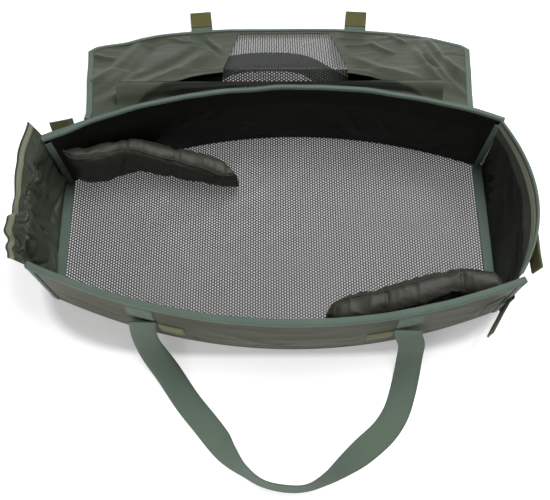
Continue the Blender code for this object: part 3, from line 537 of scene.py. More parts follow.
STITCH_TREE = geometry_tree(
    "lock_stitches",
    {"Lines": "Geometry", "Step": "Float", "Length": "Float", "Radius": "Float", "Material": "Material"},
    "Stitches",
    {
        "curve": ("MeshToCurve", {}, {}),
        "points": ("CurveToPoints", {"mode": "LENGTH"}, {}),
        "rod": ("MeshCylinder", {"fill_type": "NGON"}, {"Vertices": 5}),
        "instance": ("InstanceOnPoints", {}, {}),
        "realize": ("RealizeInstances", {}, {}),
        "paint": ("SetMaterial", {}, {}),
    },
    [
        ("given.Lines", "curve.Mesh"), ("curve.Curve", "points.Curve"), ("given.Step", "points.Length"),
        ("given.Radius", "rod.Radius"), ("given.Length", "rod.Depth"), ("points.Points", "instance.Points"),
        ("points.Rotation", "instance.Rotation"), ("rod.Mesh", "instance.Instance"),
        ("instance.Instances", "realize.Geometry"), ("realize.Geometry", "paint.Geometry"),
        ("given.Material", "paint.Material"), ("paint.Geometry", "result.Stitches"),
    ])


def sew():
    """One mesh of stitches for each body."""
    values = {"Step": STITCH_STEP, "Length": STITCH_STEP * STITCH_SHARE, "Radius": THREAD_RADIUS,
              "Material": green_thread}
    for body, lines in stitch_lines.items():
        points, edges = [], []
        for line in lines:
            edges += [(len(points) + i, len(points) + i + 1) for i in range(len(line) - 1)]
            points += [tuple(p) for p in line]
        made = add_object(f"{body}_stitches", grown(f"{body}_lines", points, edges, STITCH_TREE, values))
        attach(made, body)
        print(made.name, len(lines), "lines,", len(made.data.polygons) * 2, "triangles at most")


# %% [markdown]
# ## Folds in cloth
#
# Cloth folds in two ways here. It rolls softly where it is slack, which smooth noise gives, and it
# creases along short lines that start and end in the sheet. `creases` scatters such lines from a
# fixed seed and adds up their ridges, and `rolls` gives the soft part.

# %% Fold helpers
def rolls(u, v, seed, scale=1.0):
    """Smooth random height from about -1 to 1 at each pair of coordinates."""
    shape = np.broadcast(u, v).shape
    flat_u = np.broadcast_to(u, shape).ravel() * scale
    flat_v = np.broadcast_to(v, shape).ravel() * scale
    values = [noise.noise(Vector((a, b, seed * 7.31))) for a, b in zip(flat_u, flat_v)]
    return np.array(values).reshape(shape) * 1.6


def creases(u, v, seed, count, area, length, width, angle, spread):
    """Sum of short ridges on the (u, v) sheet. area is (u0, u1, v0, v1); angles are in degrees."""
    chance = np.random.default_rng(seed)
    height = np.zeros(np.broadcast(u, v).shape)
    for _ in range(count):
        cu = chance.uniform(area[0], area[1])
        cv = chance.uniform(area[2], area[3])
        turn = math.radians(angle + chance.normal() * spread)
        reach = length * chance.uniform(0.5, 1.2)
        thick = width * chance.uniform(0.6, 1.4)
        lift = chance.uniform(0.4, 1.0) * chance.choice([1.0, 1.0, -0.7])
        along = (u - cu) * math.cos(turn) + (v - cv) * math.sin(turn)
        bent = 0.12 * reach * np.sin(along / reach * 2.2)
        aside = (v - cv) * math.cos(turn) - (u - cu) * math.sin(turn) + bent
        height += lift * np.exp(-(np.abs(aside) / thick) ** 1.4 - (np.abs(along) / reach) ** 2.4)
    return height


# %% [markdown]
# ## The padded walls
#
# Each long wall is a strip of closed-cell foam between an outer cloth and a dark lining. It stands on
# the edge of the floor and bows outwards, so the plan of the cradle is like a boat. The foam fills
# the cloth, which shows as a crown between the bound edges, and the outer cloth lies in long folds.
# One closed mesh holds cloth, foam and lining, because nothing is seen between them.

# %% Walls
FRONT, REAR = -1, 1
SIDE_NAME = {FRONT: "front", REAR: "rear"}
END_SIGN = {"left": -1, "right": 1}
WALL_END = 0.445
WALL_FOOT = 0.0033
WALL_TOP = 0.1885
WALL_EDGE = 0.0106
RIM_LEG = 0.014
END_LEG = 0.012
RIM_BOTTOM = WALL_TOP - RIM_LEG
TAPE = 0.0012
CLOTH_GAP = 0.0003
HALF_DEPTH, DEPTH_BOW, DEPTH_SKEW = 0.242, 0.093, 0.017
FRONT_RIM, REAR_RIM, REAR_RIM_CORNER = 0.0086, 0.0046, 0.0046
SEWN_ON = {
    FRONT: [(-0.243, 0.120, 0.19), (0.243, 0.120, 0.19), (-0.193, 0.055, 0.115), (0.193, 0.055, 0.115),
            (0.408, 0.055, 0.130)],
    REAR: [(-0.243, 0.120, 0.19), (0.243, 0.120, 0.19)],
}


def half_depth(x):
    """Distance from the long axis to the outer cloth at the rim: a bow, a little fuller to the right."""
    t = np.clip(np.asarray(x) / WALL_END, -1.0, 1.0)
    return HALF_DEPTH - DEPTH_BOW * t * t + DEPTH_SKEW * t


def wall_axes(side, x):
    """Direction along a wall and its outward normal, as arrays."""
    t = np.clip(np.asarray(x, dtype=float) / WALL_END, -1.0, 1.0)
    slope = (DEPTH_SKEW - 2 * DEPTH_BOW * t) / WALL_END
    size = np.sqrt(1.0 + slope * slope)
    zero = np.zeros_like(slope)
    along = np.stack([1.0 / size, side * slope / size, zero], -1)
    normal = np.stack([-slope / size, side / size + zero, zero], -1)
    return along, normal


def wall_point(side, x, z, offset):
    """Points on a wall. offset is measured outwards from its outer face at the rim."""
    x, z, offset = np.broadcast_arrays(np.asarray(x, dtype=float), z, offset)
    _, normal = wall_axes(side, x)
    foot = np.stack([x, side * half_depth(x), z], -1)
    return foot + normal * offset[..., None]


def rim_wave(side, x):
    """The bound rim is never quite straight: how far it rises or dips."""
    return 0.0026 * rolls(x, 0.3, 11 + side, 13.0) - 0.0010


def rim_lift(side, x, z):
    """How far the waves of the rim carry the top of the wall up or down with them."""
    return rim_wave(side, x) * smoothstep((z - 0.120) / 0.060)


def rim_thickness(side, x):
    """The padding is pressed thin under the rim tape, most of all where the lid is sewn on."""
    if side == FRONT:
        return FRONT_RIM + 0.0 * x
    return REAR_RIM + REAR_RIM_CORNER * smoothstep((-x - 0.35) / 0.06)


def held_flat(side, x, z):
    """Where webbing or loop tape is sewn on, the cloth lies smooth: 1 there, 0 elsewhere."""
    mask = 0.0
    for centre, low, high in SEWN_ON[side]:
        beside = smoothstep((0.040 - np.abs(x - centre)) / 0.012)
        level = smoothstep((z - low + 0.010) / 0.010) * smoothstep((high + 0.010 - z) / 0.010)
        mask = np.maximum(mask, beside * level)
    return mask


def fullness(x, z):
    """How much the foam swells the wall: 0 under the tapes, 1 half way up."""
    across = np.clip((z - WALL_FOOT) / (RIM_BOTTOM - WALL_FOOT), 0.0, 1.0)
    return np.sin(math.pi * across) * smoothstep((WALL_END - END_LEG - np.abs(x)) / 0.050)


def outer_face(side, x, z):
    """How far the outer cloth stands out, with its long folds and the puckers under the rim tape."""
    full = fullness(x, z)
    hem = np.exp(-((RIM_BOTTOM - z) / 0.016) ** 2) * (z < RIM_BOTTOM)
    long_folds = creases(x, z, 31 + side, 34, (-0.43, 0.43, 0.02, 0.16), 0.095, 0.0075, 0.0, 5.0)
    slack = (0.0024 * full ** 0.5 * long_folds + 0.0024 * full * rolls(x * 5.0, z * 16.0, 3 + side)
             + 0.0007 * hem * rolls(x * 60.0, z * 9.0, 5 + side))
    return 0.0060 * full + slack * (1.0 - held_flat(side, x, z))


def inner_face(side, x, z):
    """The lining, with short steep creases, drawn in under the rim tape."""
    full = fullness(x, z)
    hem = np.exp(-((RIM_BOTTOM - z) / 0.020) ** 2) * (z < RIM_BOTTOM)
    folds = creases(x, z, 57 + side, 46, (-0.43, 0.43, 0.02, 0.17), 0.030, 0.006, 70.0, 28.0)
    edge = WALL_EDGE + (rim_thickness(side, x) - WALL_EDGE) * smoothstep((z - 0.140) / 0.034)
    puckers_at_hem = np.clip(rolls(x * 34.0, z * 9.0, 6 + side), -0.3, 1.0)
    return -edge - (0.0036 * full + 0.0020 * full ** 0.5 * folds
                    + 0.0018 * full * rolls(x * 14.0, z * 12.0, 9 + side) + 0.0016 * hem * puckers_at_hem)


def make_wall(side):
    name = SIDE_NAME[side]
    x = np.linspace(-WALL_END, WALL_END, 250)[None, :]
    z = np.concatenate([np.linspace(WALL_FOOT, RIM_BOTTOM, 46), [RIM_BOTTOM + 0.006, WALL_TOP]])[:, None]
    lift = rim_lift(side, x, z)
    near = wall_point(side, x, z + lift, outer_face(side, x, z))
    far = wall_point(side, x, z + lift, inner_face(side, x, z))
    wall = shell(f"{name}_wall", near, far, outer_nylon, lining_nylon)
    dress(wall, "cradle", f"{name}_wall_outer_cloth", f"{name}_wall_foam", f"{name}_wall_lining")
    return wall


walls = {side: make_wall(side) for side in SIDE_NAME}
print("walls", [len(wall.data.polygons) for wall in walls.values()], "faces each")

# %% [markdown]
# ## Tape over the edges of the walls
#
# A tape folded in two is sewn over the rim and down each end. Sewing draws it up a little, so its
# edge is puckered. It is a U-shaped section carried along the rim, with the size of the U changed
# from station to station.

# %% Wall tapes
INNER_RIM_LEG = {FRONT: 0.0100, REAR: 0.0060}


def folded_section(cloth, leg, tape, inner_leg=None):
    """U-shaped tape round an edge: p points out of the edge, q through the cloth."""
    inner_leg = inner_leg or leg
    inside = cloth / 2 + CLOTH_GAP
    outside = inside + tape
    end = CLOTH_GAP + tape
    soft = min(0.0009, tape * 0.8)
    crown = tape * 0.35
    return [(-inner_leg, -outside), (-inner_leg / 2, -outside - crown), (end - soft, -outside),
            (end, -outside + soft), (end, outside - soft), (end - soft, outside), (-leg / 2, outside + crown),
            (-leg, outside), (-leg, inside), (CLOTH_GAP, inside), (CLOTH_GAP, -inside), (-inner_leg, -inside)]


def puckered(section, positions, seed, amount, narrower=None):
    """Section for each station, swollen and drawn in along the tape, and narrower by a length there."""
    swell = rolls(positions * 55.0, 0.0, seed)
    reach = rolls(positions * 23.0, 5.0, seed)
    narrower = np.zeros(len(positions)) if narrower is None else narrower

    def sizes(i):
        grown = 1.0 + amount * swell[i]
        return [(p * (1.0 + amount * 0.5 * reach[i]) if p < 0 else p,
                 math.copysign(abs(q) - narrower[i] / 2, q) * grown) for p, q in section]

    return sizes


def make_rim_tape(side):
    x = np.linspace(-WALL_END, WALL_END, 300)
    along, normal = wall_axes(side, x)
    rim = rim_thickness(side, x)
    centres = wall_point(side, x, WALL_TOP + rim_wave(side, x), -rim / 2)
    for index, direction in ((0, -1.0), (-1, 1.0)):
        centres[index] += along[index] * direction * (TAPE + CLOTH_GAP)
    section = folded_section(WALL_EDGE, RIM_LEG - CLOTH_GAP, TAPE, inner_leg=INNER_RIM_LEG[side])
    up = np.tile((0.0, 0.0, 1.0), (len(x), 1))
    tape = band(f"{SIDE_NAME[side]}_rim_binding", centres, up, normal, section, green_binding,
                puckered(section, x, 21 + side, 0.035, WALL_EDGE - rim))
    dress(tape, "cradle", f"{SIDE_NAME[side]}_rim_tape")
    for leg, face in ((RIM_LEG - 0.0025, 0.0006 + TAPE), (0.0045, -rim - 0.0006 - TAPE)):
        stitch("cradle", wall_point(side, x, WALL_TOP - leg + rim_wave(side, x), face))


def make_end_tape(side, end):
    sign = END_SIGN[end]
    name = f"{SIDE_NAME[side]}_{end}_end"
    z = np.linspace(WALL_FOOT, RIM_BOTTOM - CLOTH_GAP, 60)
    x = np.full(len(z), sign * WALL_END)
    along, normal = wall_axes(side, x)
    centres = wall_point(side, x, z, -WALL_EDGE / 2)
    section = folded_section(WALL_EDGE, END_LEG - CLOTH_GAP, TAPE)
    tape = band(f"{name}_binding", centres, along * sign, normal, section, green_binding,
                puckered(section, z, 71 + side + sign, 0.035))
    dress(tape, "cradle", f"{name}_tape")


for side in SIDE_NAME:
    make_rim_tape(side)
    for end in END_SIGN:
        make_end_tape(side, end)

# %% [markdown]
# ## The net floor
#
# The floor is a knitted net with small holes set in staggered rows. An alpha picture could show the
# holes, but real holes let the ground, the light and the shadow through from every side. A tree
# repeats one six-sided mesh of the net at every point of a staggered grid. The flat net is then laid
# in shallow rolls.

# %% Net of staggered holes
NET_RADIUS = 0.0035
NET_HOLE = 0.60
NET_TREE = geometry_tree(
    "staggered_net",
    {"Points": "Geometry", "Radius": "Float", "Hole": "Float", "Material": "Material"},
    "Net",
    {
        "cell": ("MeshCircle", {"fill_type": "NGON"}, {"Vertices": 6}),
        "extrude": ("ExtrudeMesh", {}, {"Offset Scale": 0.0}),
        "scale": ("ScaleElements", {}, {}),
        "delete": ("DeleteGeometry", {"domain": "FACE"}, {}),
        "instance": ("InstanceOnPoints", {}, {}),
        "realize": ("RealizeInstances", {}, {}),
        "merge": ("MergeByDistance", {}, {"Distance": NET_RADIUS * 0.02}),
        "paint": ("SetMaterial", {}, {}),
    },
    [
        ("given.Radius", "cell.Radius"), ("cell.Mesh", "extrude.Mesh"), ("extrude.Mesh", "scale.Geometry"),
        ("extrude.Top", "scale.Selection"), ("given.Hole", "scale.Scale"),
        ("scale.Geometry", "delete.Geometry"),
        ("extrude.Top", "delete.Selection"), ("given.Points", "instance.Points"),
        ("delete.Geometry", "instance.Instance"), ("instance.Instances", "realize.Geometry"),
        ("realize.Geometry", "merge.Geometry"), ("merge.Geometry", "paint.Geometry"),
        ("given.Material", "paint.Material"), ("paint.Geometry", "result.Net"),
    ])


def flat_net(name, low, high, inside):
    """Mesh of a flat net over the rectangle from low to high, where inside(x, y) is true."""
    step_x = NET_RADIUS * 1.5
    step_y = NET_RADIUS * math.sqrt(3.0)
    columns = int((high[0] - low[0]) / step_x)
    rows = int((high[1] - low[1]) / step_y)
    start_x = (low[0] + high[0] - step_x * (columns - 1)) / 2
    start_y = (low[1] + high[1] - step_y * (rows - 1)) / 2
    points = [(start_x + i * step_x, start_y + (k + 0.5 * (i % 2)) * step_y, 0.0)
              for i in range(columns) for k in range(rows)]
    points = [p for p in points if inside(p[0], p[1])]
    print(name, len(points), "holes")
    return grown(name, points, [], NET_TREE, {"Radius": NET_RADIUS, "Hole": NET_HOLE, "Material": grey_net})


def lay_net(name, low, high, inside, surface):
    """A net whose points are moved from the flat onto surface(x, y)."""
    mesh = flat_net(name, low, high, inside)
    flat = read_points(mesh)
    mesh.vertices.foreach_set("co", surface(flat[:, 0], flat[:, 1]).ravel())
    mesh.shade_smooth()
    return add_object(name, mesh)


def mesh_area(made):
    return sum(face.area for face in made.data.polygons)


FLOOR_END = 0.4550
FLOOR_SIDE = 0.245


def on_floor(x, y):
    return abs(x) < FLOOR_END - 0.0025 and abs(y) < half_depth(x) - 0.004


def floor_height(x, y):
    """The net lies slack: long low rolls that die away at the walls."""
    inner = smoothstep((half_depth(x) - 0.018 - np.abs(y)) / 0.05) * smoothstep((0.43 - np.abs(x)) / 0.05)
    soft = np.clip(creases(x, y, 83, 16, (-0.36, 0.40, -0.17, 0.19), 0.16, 0.011, 62.0, 32.0), -0.6, 2.0)
    return 0.0022 + inner * (0.0016 + 0.0011 * rolls(x * 9.0, y * 11.0, 15) + 0.0018 * soft)


floor_net = lay_net("floor_net", (-FLOOR_END, -FLOOR_SIDE), (FLOOR_END, FLOOR_SIDE), on_floor,
                    lambda x, y: np.stack([x, y, floor_height(x, y)], -1))
dress(floor_net, "cradle", "base_net")
print("floor net", len(floor_net.data.polygons) * 2, "triangles")
print("floor net", round(mesh_area(floor_net), 3), "m2 of cloth")

# %% [markdown]
# ## Curves for straps
#
# Straps, tapes and seams follow curves through a few known points. A Catmull-Rom curve passes through
# every one of them, so the points can be read straight off the object.

# %% Curve helpers
def smooth_path(points, steps):
    """Points on a Catmull-Rom curve through the given points."""
    points = np.asarray(points, dtype=float)
    ends = np.concatenate([[2 * points[0] - points[1]], points, [2 * points[-1] - points[-2]]])
    t = (np.arange(steps) / steps)[:, None]
    path = [0.5 * (2 * p1 + (p2 - p0) * t + (2 * p0 - 5 * p1 + 4 * p2 - p3) * t ** 2
                   + (3 * p1 - p0 - 3 * p2 + p3) * t ** 3)
            for p0, p1, p2, p3 in zip(ends, ends[1:], ends[2:], ends[3:])]
    return np.concatenate([*path, points[-1:]])


def unit(vectors):
    return vectors / np.linalg.norm(vectors, axis=-1, keepdims=True)


def tangents(path):
    return unit(np.gradient(path, axis=0))


def strap_section(half, thin):
    """Section of a flat strap with blunt edges."""
    across = np.linspace(-half + thin, half - thin, 7)
    low = [(p, -thin) for p in across]
    high = [(p, thin) for p in across[::-1]]
    return [*low, (half, 0.0), *high, (-half, 0.0)]


# %% [markdown]
# ## Sewn pieces on the walls
#
# Each handle ends in a square of webbing that is sewn flat under the rim tape. Two squares of loop
# tape for the lid's tabs are sewn on the front wall, and a taller one by its right end. They all lie
# on the outer cloth and follow it.

# %% Anchors and loop squares
HANDLE_X = 0.243
STRAP_TOP = 0.125
ANCHOR_THICK = 0.0020
LOOP_THICK = 0.0014
SEAM_INSET = 0.0030
PATCHES = {
    "loop_patch_left": (-0.193, 0.050, 0.060, 0.110, khaki_loop),
    "loop_patch_right": (0.193, 0.050, 0.060, 0.110, khaki_loop),
    "corner_loop_patch": (0.408, 0.036, 0.060, 0.125, grey_loop),
}


def seam_lines(centre, width, bottom, top, crossed):
    """Seams of a square, as lists of (x, z): a ring inside its edge, and a cross where it is crossed."""
    x = np.linspace(centre - width / 2 + SEAM_INSET, centre + width / 2 - SEAM_INSET, 12)
    z = np.linspace(bottom + SEAM_INSET, top - SEAM_INSET, 12)
    ring = [(a, z[0]) for a in x] + [(x[-1], b) for b in z[1:]] + [(a, z[-1]) for a in x[-2::-1]]
    ring += [(x[0], b) for b in z[-2::-1]]
    return [ring, list(zip(x, z)), list(zip(x, z[::-1]))] if crossed else [ring]


def on_wall(side, name, thickness, centre, width, bottom, top, material):
    x = np.linspace(centre - width / 2, centre + width / 2, 22)[None, :]
    z = np.linspace(bottom, top, 22)[:, None]
    face = outer_face(side, x, z) + CLOTH_GAP
    u = (x - centre) / (width / 2)
    v = (2 * z - top - bottom) / (top - bottom)
    rounded = thickness * (1.0 - 0.5 * np.maximum(np.abs(u), np.abs(v)) ** 10)
    lifted = z + rim_lift(side, x, z)
    patch = shell(name, wall_point(side, x, lifted, face + rounded), wall_point(side, x, lifted, face),
                  material, uv=(z + 0 * x, x + 0 * z - centre))
    for line in seam_lines(centre, width, bottom, top, material is green_webbing):
        a, b = np.array(line).T
        outside = outer_face(side, a, b) + 0.0004 + thickness
        stitch("cradle", wall_point(side, a, b + rim_lift(side, a, b), outside))
    dress(patch, "cradle", name)


for side in SIDE_NAME:
    for end, sign in END_SIGN.items():
        on_wall(side, f"{SIDE_NAME[side]}_handle_anchor_{end}", ANCHOR_THICK, sign * HANDLE_X, 2 * STRAP_HALF,
                STRAP_TOP, RIM_BOTTOM, green_webbing)
for name, (centre, width, bottom, top, material) in PATCHES.items():
    on_wall(FRONT, name, LOOP_THICK, centre, width, bottom, top, material)

# %% [markdown]
# ## Carry handles
#
# Each handle is one strap, 50 mm wide, that is sewn on its wall in two places. Below the seams it
# hangs, stands on its edge on the ground and lies over where it is bent round. It is a thin section
# carried along a curve whose points say where the middle of the strap is, which way its width points
# and how far it leans.

# %% Handles
HANDLE_COURSE = {
    FRONT: [
        ((-0.2432, -0.2190, 0.114), -2, 0), ((-0.246, -0.2235, 0.092), -2, 0),
        ((-0.246, -0.2340, 0.060), 0, 0),
        ((-0.235, -0.254, 0.030), 10, 0), ((-0.208, -0.288, 0.008), 28, 0), ((-0.170, -0.342, None), 40, 0),
        ((-0.134, -0.385, None), 46, 0), ((-0.108, -0.417, None), 48, 12), ((-0.086, -0.445, None), 50, 42),
        ((-0.060, -0.471, None), 55, 68), ((-0.026, -0.494, None), 70, 78), ((0.016, -0.504, None), 88, 78),
        ((0.056, -0.503, None), 98, 78), ((0.092, -0.487, None), 112, 66), ((0.130, -0.461, None), 122, 40),
        ((0.168, -0.433, None), 130, 12), ((0.204, -0.402, None), 137, 0), ((0.228, -0.369, None), 150, 0),
        ((0.243, -0.332, None), 164, 0), ((0.253, -0.295, 0.008), 172, 0), ((0.257, -0.267, 0.031), 178, 0),
        ((0.256, -0.2510, 0.066), 178, 0), ((0.247, -0.2408, 0.094), 178, 0),
        ((0.2432, -0.2377, 0.114), 178, 0),
    ],
    REAR: [
        ((-0.242, 0.2220, 0.085), 182, 0), ((-0.240, 0.2280, 0.045), 181, 0),
        ((-0.238, 0.2365, 0.020), 180, 0),
        ((-0.234, 0.2480, 0.0062), 180, 0), ((-0.230, 0.2600, None), 178, 0), ((-0.218, 0.290, None), 160, 0),
        ((-0.190, 0.340, None), 146, 0), ((-0.150, 0.390, None), 130, 0), ((-0.092, 0.424, None), 103, 0),
        ((-0.010, 0.432, None), 90, 0), ((0.066, 0.424, None), 72, 0), ((0.128, 0.386, None), 46, 0),
        ((0.190, 0.340, None), 34, 0), ((0.218, 0.290, None), 20, 0), ((0.230, 0.2600, None), 2, 0),
        ((0.234, 0.2500, 0.0062), 0, 0), ((0.238, 0.2435, 0.020), 1, 0), ((0.240, 0.2405, 0.045), 1, 0),
        ((0.242, 0.2388, 0.085), 2, 0),
    ],
}
STRAP_THIN = 0.0010
ROOT_SEAM_STATIONS = (1, 7)
ROOT_SEAM_HALF = 0.022
GROUND_GAP = 0.0004


def strap_reach(side, x):
    """Distance from the long axis to the middle of a strap that lies on its anchor."""
    face = 0.0060 * fullness(x, STRAP_TOP) + ANCHOR_THICK + CLOTH_GAP
    return abs(wall_point(side, x, STRAP_TOP, face)[1]) + STRAP_THIN + CLOTH_GAP


def handle_root(side, end):
    """Middle of a strap's sewn end, on the straight line over the two anchors."""
    inner = HANDLE_X - STRAP_HALF
    left, right = strap_reach(side, -inner), strap_reach(side, inner)
    reach = (left + right) / 2 + END_SIGN[end] * (right - left) / 2 * HANDLE_X / inner
    return np.array([END_SIGN[end] * HANDLE_X, side * reach, STRAP_TOP])


def make_handle(side):
    left, right = handle_root(side, "left"), handle_root(side, "right")
    across = unit(right - left) * -side
    places, widths = [left], [across]
    for (x, y, z), heading, tilt in HANDLE_COURSE[side]:
        turn, lean = math.radians(heading), math.radians(tilt)
        if z is None:
            z = CLOTH_GAP + STRAP_HALF * math.sin(lean) + STRAP_THIN * math.cos(lean)
        places.append((x, y, z))
        widths.append((math.cos(lean) * math.cos(turn), math.cos(lean) * math.sin(turn), math.sin(lean)))
    places = smooth_path([*places, right], 10)
    widths = smooth_path([*widths, -across], 10)
    along = tangents(places)
    level = unit(widths - along * (widths * along).sum(1, keepdims=True))
    face = np.cross(along, level)
    lowest = places[:, 2] - STRAP_HALF * np.abs(level[:, 2]) - STRAP_THIN * np.abs(face[:, 2])
    places[:, 2] += np.maximum(0.0, GROUND_GAP - lowest)
    body = f"{SIDE_NAME[side]}_handle"
    strap = band(body, places, level, face, strap_section(STRAP_HALF, STRAP_THIN), green_webbing)
    dress(strap, body, f"{body}_strap")
    for start, away in ((0, 1), (len(places) - 1, -1)):
        outside = (STRAP_THIN + 0.0002) * (1 if away * side < 0 else -1)
        for station in ROOT_SEAM_STATIONS:
            at = start + away * station
            stitch(body, [places[at] + level[at] * p + face[at] * outside
                          for p in np.linspace(-ROOT_SEAM_HALF, ROOT_SEAM_HALF, 8)])
    print(strap.name, round(lengths(places)[-1], 3), "m long")


for side in SIDE_NAME:
    make_handle(side)

# %% [markdown]
# ## Tabs
#
# Five short tabs of webbing carry hook squares: two on the lid's free edge, one behind the rear-left
# corner, and two by the front-right corner. Their place and size are read from the eight corners of
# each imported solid. Each is a thin sheet that curls a little towards its tip, as sewn webbing does.

# %% Tabs
TAB_ROOT = 0.010
TAB_CURL = {"lid_tab_left": 0.0, "lid_tab_right": 0.0, "rear_left_tab": 0.002, "wrap_tab": 0.002,
            "hanging_tab": 0.002}
HOOK_OUTER, HOOK_INNER = 0.0017, 0.0003


def slab_frame(node, root, hook):
    """Middle of a tab's root, its directions and its sizes, from the corners of its solid."""
    corners = np.array([vertex.co for vertex in frame["nodes"][node].data.vertices])
    corners = np.unique(corners.round(6), axis=0)
    hook_middle = np.array([vertex.co for vertex in frame["nodes"][hook].data.vertices]).mean(0)
    centre = corners.mean(0)
    axes = np.linalg.svd(corners - centre)[2]
    along = axes[0] * np.sign((centre - root) @ axes[0])
    out = axes[2] * np.sign((centre - hook_middle) @ axes[2])
    across = np.cross(out, along)
    size = [np.ptp(corners @ axis) for axis in (along, across, out)]
    return centre - along * size[0] / 2, along, across, out, size


def make_tab(name, curl):
    webbing_node, hook_node = f"{name}_webbing", f"{name}_hook"
    root = np.array(joints[f"{name}_fold"]["pos_m"])
    start, along, across, out, (length, width, thick) = slab_frame(webbing_node, root, hook_node)

    def sheet(label, first, low, high, inset, material):
        s = np.linspace(first, length - inset, 18)[:, None]
        w = np.linspace(-width / 2, width / 2, 12)[None, :] * (1.0 - 2 * inset / width)
        bend = curl * (s / length) ** 2 + 0.0006 * rolls(s * 40.0, w * 30.0, len(name))
        bend = bend * smoothstep(s / 0.012)
        middle = start + along * s[..., None] + across * w[..., None]
        near, far = (middle + out * (bend + q)[..., None] for q in (high, low))
        return shell(label, near, far, material, uv=(s + 0 * w, w + 0 * s))

    back = -thick / 2
    strap = sheet(name, 0.0, back, thick / 2, 0.0, tab_webbing)
    pad = sheet(f"{name}_hooks", TAB_ROOT, back - HOOK_OUTER, back - HOOK_INNER, 0.0005, khaki_hook)
    dress(strap, name, webbing_node)
    dress(pad, name, hook_node)
    corners = ((TAB_ROOT + 0.002, -1), (length - 0.003, -1), (length - 0.003, 1), (TAB_ROOT + 0.002, 1))
    stitch(name, [start + along * a + across * b * width * 0.44
                  + out * (curl * (a / length) ** 2 + back - HOOK_OUTER - 0.0002) for a, b in corners])


for name, curl in TAB_CURL.items():
    make_tab(name, curl)

# %% [markdown]
# ## Tapes at the ends of the floor
#
# A tape covers the seam where each cloth end meets the net. It is sewn flat and pulled a little
# wavy, more so at the right end.

# %% Base tapes
BASE_TAPE_OUTER = 0.4476
BASE_TAPE_HALF = 0.010
BASE_TAPE_THIN = 0.0008
BASE_TAPE_HEIGHT = 0.0052
BASE_TAPE_LAP = 0.0120
BASE_TAPE_WAVE = {"left": 0.0012, "right": 0.0030}
BASE_SEAM = 0.008


def panel_half_width(end):
    """Half the width of an end panel, which passes between the wall ends."""
    return float(half_depth(END_SIGN[end] * WALL_END)) - WALL_EDGE - CLOTH_GAP - TAPE - 0.004


def make_base_tape(end, sign):
    half = panel_half_width(end) + BASE_TAPE_LAP
    y = np.linspace(-half, half, 90)
    wave = BASE_TAPE_WAVE[end] * rolls(y * 22.0, 2.0, 41 + sign)
    x = np.full_like(y, sign * (BASE_TAPE_OUTER - BASE_TAPE_HALF))
    centres = np.stack([x, y, BASE_TAPE_HEIGHT + 0.6 * np.abs(wave)], -1)
    tilt = 0.25 * rolls(y * 16.0, 1.0, 45 + sign)
    first = unit(np.stack([np.ones_like(y), np.zeros_like(y), 0.35 * np.clip(tilt * -sign, 0.0, 1.0)], -1))
    second = np.cross(first, tangents(centres)) * -1
    section = strap_section(BASE_TAPE_HALF, BASE_TAPE_THIN)
    tape = band(f"{end}_floor_tape", centres, first, second, section, green_binding,
                lambda i: [(p * (1.0 + 60.0 * wave[i]) if p * sign < 0 else p, q) for p, q in section])
    dress(tape, "cradle", f"{end}_base_tape")
    for p in (-BASE_SEAM, BASE_SEAM):
        stitch("cradle", centres + first * p + np.array([0.0, 0.0, BASE_TAPE_THIN + 0.0003]))


for end, sign in END_SIGN.items():
    make_base_tape(end, sign)

# %% [markdown]
# ## The fold-down ends
#
# Each end of the cradle is one sheet of nylon, sewn to the end of the floor, with a drawstring hem
# along its top that gathers it into deep puckers. Above the hem a flap carries a strip of hook tape
# and a bound edge. The left flap has flopped over outwards, and the right one stands. The sheet is a
# grid over the width and the height of the end, bowed as the solid is, with the puckers added as
# displacement that is deepest at the hem.

# %% Fold-down ends
PANEL_FOOT = (0.4480, 0.0045)
PANEL_HEIGHT = 0.137
FLAP_HEIGHT = 0.050
PANEL_LEAN = {"left": 7.5, "right": 12.0}
PANEL_BOW = {"left": 0.004, "right": 0.050}
PANEL_LAP = {"left": 0.0160, "right": 0.0036}
PANEL_HALF_CLOTH = 0.0007
# The right panel wears the darker copy of the end nylon, a painted shade.
PANEL_CLOTH = {"left": flap_nylon, "right": panel_nylon}
RIGHT_LAP = 0.0168
RIGHT_LAP_TOP = 0.128
FLAP_FOOT = {"left": 0.0, "right": -0.0012}
FLAP_HALF_CLOTH = 0.0008
FLAP_BEND = 0.011
FLAP_BINDING = {"left": dark_binding, "right": green_binding}
STRIP_LOW = {"left": 0.0305, "right": 0.0265}
STRIP_WIDTH = 0.014
STRIP_NEAR, STRIP_FAR = -0.0024, -0.0010


def end_axes(end):
    """Foot, upward direction and outward direction of an end."""
    sign, lean = END_SIGN[end], math.radians(PANEL_LEAN[end])
    foot = np.array([sign * PANEL_FOOT[0], 0.0, PANEL_FOOT[1]])
    up = np.array([sign * math.sin(lean), 0.0, math.cos(lean)])
    out = np.array([sign * math.cos(lean), 0.0, -math.sin(lean)])
    return foot, up, out


def end_reach(end):
    """Half width of the cloth: the left end laps over the ends of the walls."""
    return panel_half_width(end) + PANEL_LAP[end]


def lap_height(height):
    """1 low down, where the right end laps behind the walls' ends, and 0 near its top."""
    return smoothstep((RIGHT_LAP_TOP - height) / 0.036)


def end_point(end, y, height, offset):
    """Point on an end: y across it, height up along the cloth, offset counted outwards."""
    foot, up, out = end_axes(end)
    y, height, offset = np.broadcast_arrays(np.asarray(y, dtype=float), height, offset)
    bow = PANEL_BOW[end] * height / (PANEL_HEIGHT + FLAP_HEIGHT) * (y / panel_half_width(end)) ** 2
    upright = height * math.sin(math.radians(PANEL_LEAN[end]))
    if end == "left":
        corner = smoothstep((np.abs(y) - end_reach(end) + 0.045) / 0.042)
        bow = bow + corner * (0.0006 + upright)
    else:
        corner = smoothstep((np.abs(y) - end_reach(end) + 0.002) / 0.006) * lap_height(height)
        bow = bow + corner * (upright - 0.0010 - bow)
    place = foot + up * height[..., None] + out * (offset - bow)[..., None]
    return place + np.array([0, 1.0, 0]) * y[..., None]


